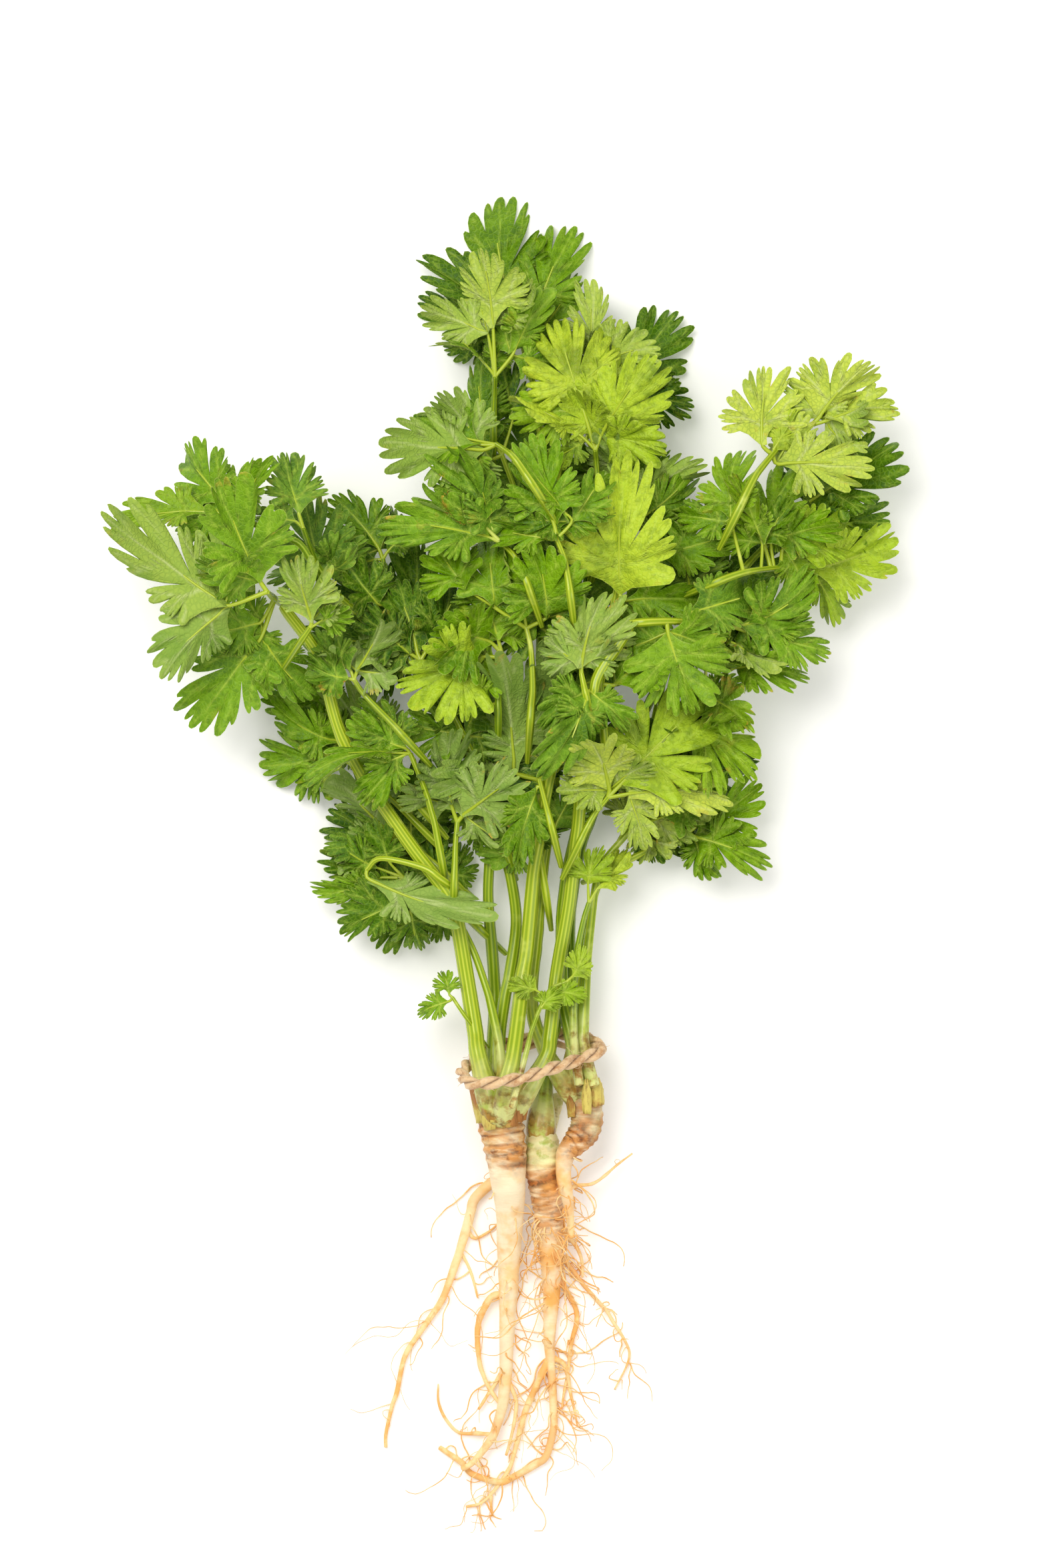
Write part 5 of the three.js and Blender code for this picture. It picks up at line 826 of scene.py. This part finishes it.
def cut_leaflet(rng, aspect, deep):
    """Outline of a leaflet of length 1, with the bearing of each point of it, and its veins as (start, end, rank).
    Three lobes, each parted into three, and those into teeth."""
    half = aspect * 0.55
    bounds = np.radians([-116, -36, 36, 116]) + rng.normal(size=4) * 0.08
    outline, bearings, veins = [], [], [(np.array([0.0, 0.0]), HEART, 0)]

    def envelope(angle):
        sine, cosine = abs(math.sin(angle)), math.cos(angle)
        return ((abs(cosine) / (0.73 if cosine > 0 else 0.28)) ** 2.5 + (sine / half) ** 2.5) ** (-1 / 2.5)

    def towards(angle, reach):
        return HEART + np.array([math.sin(angle), math.cos(angle)]) * reach

    for lobe in range(3):
        low, high = bounds[lobe], bounds[lobe + 1]
        size = 1 + rng.normal() * 0.06
        centre = (low + high) / 2
        split = towards(centre, envelope(centre) * size * (0.36 if lobe == 1 else 0.42))
        start = HEART if lobe == 1 else HEART - [0, 0.06]
        veins.append((start, split, 0))
        cuts = shares(rng, 3, low, high)
        for part in range(3):
            a, b = cuts[part], cuts[part + 1]
            heading = (a + b) / 2
            teeth = 3 if part == 1 else 2
            if lobe != 1 and (part == 0) == (lobe == 0) and part != 1:
                teeth = int(rng.integers(1, 3))
            marks = shares(rng, teeth, a, b, 0.14)
            branch = towards(heading, envelope(heading) * size * 0.66)
            veins.append((split, branch, 1))
            for tooth in range(teeth):
                c, d = marks[tooth], marks[tooth + 1]
                for t in np.linspace(-1, 1, 7)[:-1]:
                    angle = (c + d) / 2 + t * (d - c) / 2
                    in_lobe = (angle - centre) / ((high - low) / 2)
                    outer = 0.34 if (lobe == 0 and in_lobe < 0) or (lobe == 2 and in_lobe > 0) else 0.66
                    reach = envelope(angle) * size
                    reach *= 1 - deep * outer * abs(in_lobe) ** 8
                    reach *= 1 - deep * 0.27 * abs((angle - heading) / ((b - a) / 2)) ** 5
                    reach *= 1 - 0.15 * abs(t) ** 2.8
                    outline.append(towards(angle, reach))
                    bearings.append(angle)
                tip = (c + d) / 2
                veins.append((branch, towards(tip, envelope(tip) * size * 0.9), 2))
    last, first = outline[-1], outline[0]
    for share in (0.35, 0.7, 1.0):
        bulge = math.sin(share * math.pi)
        outline.append(last + (np.array([0.018, 0.0]) - last) * share + np.array([-0.02, 0.02]) * bulge)
        bearings.append(bounds[3] + (math.pi - bounds[3]) * share)
    for share in (1.0, 0.7, 0.35):
        bulge = math.sin(share * math.pi)
        outline.append(first + (np.array([-0.018, 0.0]) - first) * share + np.array([0.02, 0.02]) * bulge)
        bearings.append(bounds[0] - (math.pi + bounds[0]) * share)
    return np.array(outline), np.array(bearings), veins


def add_leaflet(growth, rng, blade, joint, looks):
    """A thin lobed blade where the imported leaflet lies, and the short stalk that carries it."""
    x, y, z, heading, tilt, roll, length, width = blade
    ripe, bloom, hurt, lively = looks
    sway = 0.3 if ripe > 0.8 else 1.0
    tilt = tilt + 4 * sway * rng.normal()
    roll = roll + sway * float(np.clip(16 * rng.normal(), -30, 30))
    heading, tilt, roll = map(math.radians, (heading, tilt, roll))
    ahead = np.array([math.cos(tilt) * math.cos(heading), math.cos(tilt) * math.sin(heading), math.sin(tilt)])
    up = unit(np.array([0, 0, 1.0]) - ahead * ahead[2])
    side = np.cross(ahead, up)
    normal = up * math.cos(roll) + side * math.sin(roll)
    side = np.cross(ahead, normal)
    foot = np.array([x, y, z]) * MM
    on_edge = abs(math.sin(roll)) > 0.4
    width = width * (1.5 if width / length < 0.5 and not on_edge else 1.22)
    length = length * 1.06
    outline, bearings, veins = cut_leaflet(rng, min(1.3, width / length), rng.uniform(0.62, 1.12))
    levels = np.array([0.0, 0.12, 0.24, 0.36, 0.47, 0.57, 0.66, 0.75, 0.83, 0.9, 0.955, 1.0])
    flat = HEART + (outline - HEART)[None, :, :] * levels[:, None, None]
    bend = 0.14 * rng.normal()
    u, v = flat[..., 0] + bend * flat[..., 1] ** 2, flat[..., 1]
    near = np.full(u.shape, 9.0)
    for start, end, rank in veins:
        run = end - start
        t = np.clip(((flat[..., 0] - start[0]) * run[0] + (v - start[1]) * run[1]) / max(run @ run, 1e-9), 0, 1)
        away = np.hypot(flat[..., 0] - start[0] - run[0] * t, v - start[1] - run[1] * t) * length
        near = np.minimum(near, away + 0.1 * rank)
    reaches = np.linalg.norm(outline - HEART, axis=1)
    inward = (1 - levels[:, None]) * reaches[None, :] * length
    far = levels[:, None] * reaches[None, :]
    # folded along the midrib, each lobe arched its own way, its margin rippled
    arch = np.interp(bearings, np.radians([-116, -75, 0, 75, 116]), rng.normal(size=5) * 0.42 * lively - 0.16)
    lift = (0.22 + 0.2 * rng.normal()) * lively * np.abs(flat[..., 0]) * length
    lift = lift + arch[None, :] * length * far ** 2
    phase = rng.uniform(0, 6.28, 3)
    ripple = (np.sin(bearings * 5 + phase[0]) + 0.8 * np.sin(bearings * 9 + phase[1])
              + 0.5 * np.sin(bearings * 17 + phase[2]))
    lift = lift + ripple[None, :] * far ** 2 * 3.4 * lively * (0.4 + length / 30)
    lift = lift + rng.normal() * 0.14 * lively * length * np.clip(v - 0.45, 0, 1) ** 2 * 2
    lift = lift - 0.13 * length * v ** 2 - np.exp(-(near / 0.5) ** 2) * 0.2
    curl = 0.6 * rng.normal() * lively
    lift = lift + curl * np.clip(2.2 - inward, 0, 2.2) ** 2 * 0.22
    middle = (foot + ahead * (v * length * MM)[..., None] + side * (u * length * MM)[..., None]
              + normal * (lift * MM)[..., None])
    rows, columns = u.shape
    middle = middle.reshape(-1, 3)
    low = 0.3 * MM
    middle[:, 2] = np.where(middle[:, 2] < low, low + np.maximum(middle[:, 2] - low, -8 * MM) * -0.06, middle[:, 2])
    count = rows * columns
    thick = (BLADE_THICKNESS / 2 * np.clip(0.5 + inward / 2, 0.5, 1)).reshape(-1)[:, None]
    faces = []
    for i in range(rows - 1):
        for k in range(columns):
            n = (k + 1) % columns
            quad = [i * columns + k, i * columns + n, (i + 1) * columns + n, (i + 1) * columns + k]
            if i == 0:
                quad = [0, (i + 1) * columns + n, (i + 1) * columns + k]
            faces += [quad[::-1], [corner + count for corner in quad]]
    edge = (rows - 1) * columns
    for k in range(columns):
        a, b = edge + k, edge + (k + 1) % columns
        faces.append([a, b, b + count, a + count][::-1])
    both = {"vein": np.exp(-(near / 0.32) ** 2), "margin": np.clip(inward, 0, 9)}
    both = {key: np.tile(value.reshape(-1), 2) for key, value in both.items()}
    growth.add(np.vstack([middle + normal * thick, middle - normal * thick]), faces, 0,
               upper=np.repeat([1.0, 0.0], count), tone=float(np.clip(rng.normal(0.4, 0.35), 0, 1)),
               ripe=float(np.clip(ripe + rng.normal() * 0.08, 0, 1)), bloom=bloom, hurt=hurt, **both)
    ribs = np.linspace(0.0, 0.62, 6)
    sag = (-0.13 * length * ribs ** 2 - 0.3) * MM
    rib_line = foot + ahead * (ribs * length * MM)[:, None] + normal * sag[:, None]
    rib_line = rib_line + side * (bend * ribs ** 2 * length * MM)[:, None]
    rib_line[:, 2] = np.maximum(rib_line[:, 2], 0.4 * MM)
    line = spaced(np.vstack([[joint], rib_line]), 1.2 * MM)
    thin = np.linspace(0.6, 0.16, len(line)) * MM * min(1.15, 0.5 + width / 30)
    add_tube(growth, line, thin, 8, 1, rib=0.6, tone=0.35, start=60.0)


for order, (node, (ripe, bloom, hurt, stalk, blades)) in enumerate(LEAVES.items()):
    rng = np.random.default_rng(500 + order)
    growth = Growth()
    stalk = np.array(stalk) * MM
    from_crown = stalk[0, 1] < -60 * MM
    if not from_crown:         # it springs from a stem deeper in the bunch
        back = unit(stalk[0, :3] - stalk[1, :3])
        sunk = stalk[0] + np.append(back * 10 * MM - [0, 0, min(9 * MM, max(0, stalk[0, 2] - 2 * MM))], -0.55 * MM)
        stalk = np.vstack([sunk, stalk])
    stalk = spaced(stalk, 1.3 * MM)
    shape, crest = ribs_round(rng, len(stalk), 18, 6, 0.05)
    radius = stalk[:, 3] * np.clip(1.0 - 0.35 * np.linspace(0, 1, len(stalk)), 0.5, 1)
    add_tube(growth, stalk[:, :3], radius, 18, 1, shape, rib=crest, tone=rng.uniform(0.0, 0.7),
             start=0.0 if from_crown else 60.0)
    lively = 0.6 if node.startswith("shoot") else 1.0 + 0.5 * (hurt > 0.5)
    for blade in blades:
        spot = np.array(blade[:3]) * MM
        joint = stalk[np.argmin(np.linalg.norm(stalk[:, :3] - spot, axis=1)), :3]
        add_leaflet(growth, rng, blade, joint, (ripe, bloom, hurt, lively))
        # a pair of smaller leaflets lower on the same leaf fills in behind the large ones
        if blade[6] >= SPARE_FROM and len(blades) > 1 and not node.startswith("shoot"):
            for hand in (-1, 1):
                if rng.random() < SPARE_CHANCE:
                    x, y, z, heading, tilt, roll, length, width = blade
                    size = rng.uniform(0.55, 0.75)
                    spare = (x, y, max(1.2, z - 1.6), heading + hand * rng.uniform(48, 80), tilt * 0.5 - 4,
                             roll if abs(math.sin(math.radians(roll))) < 0.4 else 0,
                             length * size, max(width, 0.62 * length) * size)
                    add_leaflet(growth, rng, spare, joint, (ripe * 0.85, bloom, hurt * 0.5, lively))
    piece = growth.piece(node + "_grown", [leaf_skin, stem_skin], crisp=55)
    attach(piece, "root")
    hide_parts(node)


# ------------------------------------------------------------------------------------------ TWINE
# Two strands of soft tan plant fibre, twisted together, go once round the stems below the leaves.
# The ends are twisted off underneath; loose fibres stand up from the strands.

# (across, along, up) once round
TWINE_LOOP = [(-12.1, -60.2, 25.3), (-11.5, -59.3, 22.6), (-10.6, -58.3, 20), (-9.6, -57.4, 17.3),
    (-8.7, -56.4, 14.7), (-7.7, -55.5, 12.1), (-6.5, -54.5, 9.6), (-4.1, -53.8, 8.1), (-1.4, -53.1, 7.1),
    (1.3, -52.5, 6.2), (4.1, -51.9, 5.3), (6.8, -51.3, 4.4), (9.5, -50.6, 3.4), (12.3, -50.1, 2.9),
    (15.2, -49.9, 3.2), (17.9, -50, 4.5), (20.2, -50.3, 6.3), (22.3, -50.6, 8.3), (24, -51.2, 10.6),
    (25.2, -51.9, 13.2), (26.4, -52.6, 15.8), (27.6, -53.3, 18.4), (27.2, -54.2, 21.2), (25.5, -55.1, 23.3),
    (23.1, -55.8, 24.8), (20.6, -56.6, 26.3), (18.2, -57.4, 27.7), (15.8, -58.1, 29.2), (13.3, -58.9, 30.7),
    (10.9, -59.7, 32.2), (8.5, -60.4, 33.6), (6, -61.2, 35.1), (3.3, -61.8, 35.9), (0.4, -62.2, 36.1),
    (-2.5, -62.6, 36.2), (-5.5, -62.9, 36.3), (-8.3, -63.1, 35.6), (-10.3, -62.6, 33.6),
    (-11.2, -61.9, 30.9), (-11.7, -61.1, 28.1)]
STRAND = 1.08 * MM             # radius of one strand
STRAND_OFFSET = 0.86 * MM      # from the twine's middle line to a strand's
TWINE_PITCH = 12.5             # millimetres of twine to one full turn of its strands
TWINE_STEP = 0.5               # millimetres from ring to ring of points round the twine
LOOSE_FIBRES = 90

twine_skin, tree, shader = fresh_material("plant fibre twine")
groove = mark(tree, "groove")
fibre = speckle(tree, 900.0, 5.0, 0.7)
colour = blotched(tree, paint(230, 194, 148), paint(194, 146, 98), 260.0, 0.45)
colour = blend(tree, ramp(tree, fibre, 0.45, 0.7, 0.0, 0.6), colour, paint(242, 216, 176))
# Dark brown where the strands face each other: painted shade in the groove between the two strands.
colour = blend(tree, sums(tree, "MULTIPLY", groove, 0.75), colour, paint(112, 74, 44))
plug_in(tree, shader, colour, ramp(tree, fibre, 0.3, 0.7, 0.75, 0.92), fibre, 0.8, 0.3 * MM)
shader.inputs["Sheen Weight"].default_value = 0.2

rng = np.random.default_rng(900)
ring = np.array(TWINE_LOOP) * MM
loop = spaced(np.vstack([ring[-2:], ring, ring[:3]]), TWINE_STEP * MM)
first = int(np.argmin(np.linalg.norm(loop - ring[0], axis=1)))
later = first + 60 + int(np.argmin(np.linalg.norm(loop[first + 60:] - ring[0], axis=1)))
loop = loop[first:later + 1]
ahead, sideways, upright = frames_along(loop)
run = np.arange(len(loop)) * TWINE_STEP
turns = round(run[-1] / TWINE_PITCH)
growth = Growth()
for strand in range(2):
    angle = run / run[-1] * turns * 2 * math.pi + strand * math.pi
    line = loop + (sideways * np.cos(angle)[:, None] + upright * np.sin(angle)[:, None]) * STRAND_OFFSET
    sides = 14
    face = np.arange(sides) / sides * 2 * math.pi
    lay = face[None, :] * 5 + np.arange(len(line))[:, None] * 0.5
    shape = 1 + 0.05 * np.cos(lay) + 0.03 * np.cos(lay * 2 + 1) + 0.06 * waves(line, 31 + strand, 160)[:, None]
    _, strand_side, strand_up = frames_along(line)
    out_way = (np.cos(face)[None, :, None] * strand_side[:, None, :]
               + np.sin(face)[None, :, None] * strand_up[:, None, :])
    # The painted shade mark: how far each point of a strand faces the other strand.
    inwards = np.einsum("ikc,ic->ik", out_way, unit(loop - line))
    add_tube(growth, line, STRAND, sides, 0, shape, groove=np.clip((inwards - 0.1) / 0.6, 0, 1))
bottom = loop[np.argmin(loop[:, 2])]
for hand in (-1, 1):
    tail = bottom + np.array([[hand * -2, 0.6, 0], [hand * 1.5, -2.2, -0.4],
                              [hand * 5, -3.5, 0.2], [hand * 9, -5.0, 0.4]]) * MM
    tail[:, 2] = np.maximum(tail[:, 2], 1.2 * MM)
    line = spaced(tail, 0.6 * MM)
    add_tube(growth, line, np.linspace(1.1, 0.7, len(line)) * MM, 12, 0, groove=0.1)
for _ in range(LOOSE_FIBRES):
    k = int(rng.integers(2, len(loop) - 2))
    angle = rng.uniform(0, 2 * math.pi)
    out_way = sideways[k] * math.cos(angle) + upright[k] * math.sin(angle)
    start = loop[k] + out_way * 1.6 * MM
    lean = unit(out_way * 0.7 + ahead[k] * rng.uniform(-1.6, 1.6))
    size = rng.uniform(1.0, 3.0) * MM
    line = np.array([start, start + lean * size * 0.5, start + lean * size + rng.normal(size=3) * 0.4 * MM])
    line[:, 2] = np.maximum(line[:, 2], 0.1 * MM)
    add_tube(growth, spaced(line, 0.5 * MM), 0.05 * MM, 4, 0, groove=0.0)
piece = growth.piece("twine_tie_twisted", [twine_skin])
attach(piece, "root")
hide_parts("twine_tie")


# ------------------------------------------------------------------------------ TABLE AND LIGHT
# A plain white table top, a large soft light from the upper left and a weaker one from the right.
# The camera is high above and looks straight down.

floor_mesh = bpy.data.meshes.new("table_top")
floor_mesh.from_pydata([(-6, -6, -0.0003), (6, -6, -0.0003), (6, 6, -0.0003), (-6, 6, -0.0003)], [], [[0, 1, 2, 3]])
floor = bpy.data.objects.new("table_top", floor_mesh)
bpy.context.scene.collection.objects.link(floor)
table_paint, tree, shader = fresh_material("white table top")
shade = speckle(tree, 3.0, 2.0)
tree.links.new(blend(tree, shade, paint(250, 250, 250), paint(246, 246, 246)), shader.inputs["Base Color"])
shader.inputs["Roughness"].default_value = 0.7
shader.inputs["Emission Color"].default_value = (1.0, 0.99, 0.99, 1)
shader.inputs["Emission Strength"].default_value = 0.16
floor_mesh.materials.append(table_paint)
floor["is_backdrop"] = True

bpy.context.scene.view_settings.view_transform = "Standard"
world = bpy.data.worlds.new("studio")
world.use_nodes = True
world.node_tree.nodes["Background"].inputs["Color"].default_value = (1.0, 0.99, 0.97, 1)
world.node_tree.nodes["Background"].inputs["Strength"].default_value = 0.5
bpy.context.scene.world = world


def soft_light(name, place, target, size, power):
    data = bpy.data.lights.new(name, "AREA")
    data.shape, data.size, data.energy = "DISK", size, power
    data.color = (1.0, 0.975, 0.92)
    lamp = bpy.data.objects.new(name, data)
    lamp.location = place
    lamp.rotation_euler = (Vector(target) - Vector(place)).to_track_quat("-Z", "Y").to_euler()
    bpy.context.scene.collection.objects.link(lamp)


soft_light("window_upper_left", (-0.5, 0.62, 1.5), (0, 0.0, 0.02), 1.1, 21.0)
soft_light("fill_right", (1.0, -0.5, 1.3), (0, 0, 0.02), 1.2, 8.0)

camera = bpy.data.cameras.new("overhead")
camera_object = bpy.data.objects.new("overhead", camera)
bpy.context.scene.collection.objects.link(camera_object)
VIEW_LENGTH = 446.3 * MM
CAMERA_HEIGHT = 2.2
FOCUS_HEIGHT = 25 * MM
camera.sensor_fit = "VERTICAL"
camera.sensor_height = 36
camera.lens = 36 * (CAMERA_HEIGHT - FOCUS_HEIGHT) / VIEW_LENGTH
camera_object.location = ((cad_low[0] + cad_high[0]) / 2 + 5.45 * MM,
                          (cad_low[1] + cad_high[1]) / 2 + 21.9 * MM, CAMERA_HEIGHT)
bpy.context.scene.camera = camera_object

bpy.context.view_layer.update()
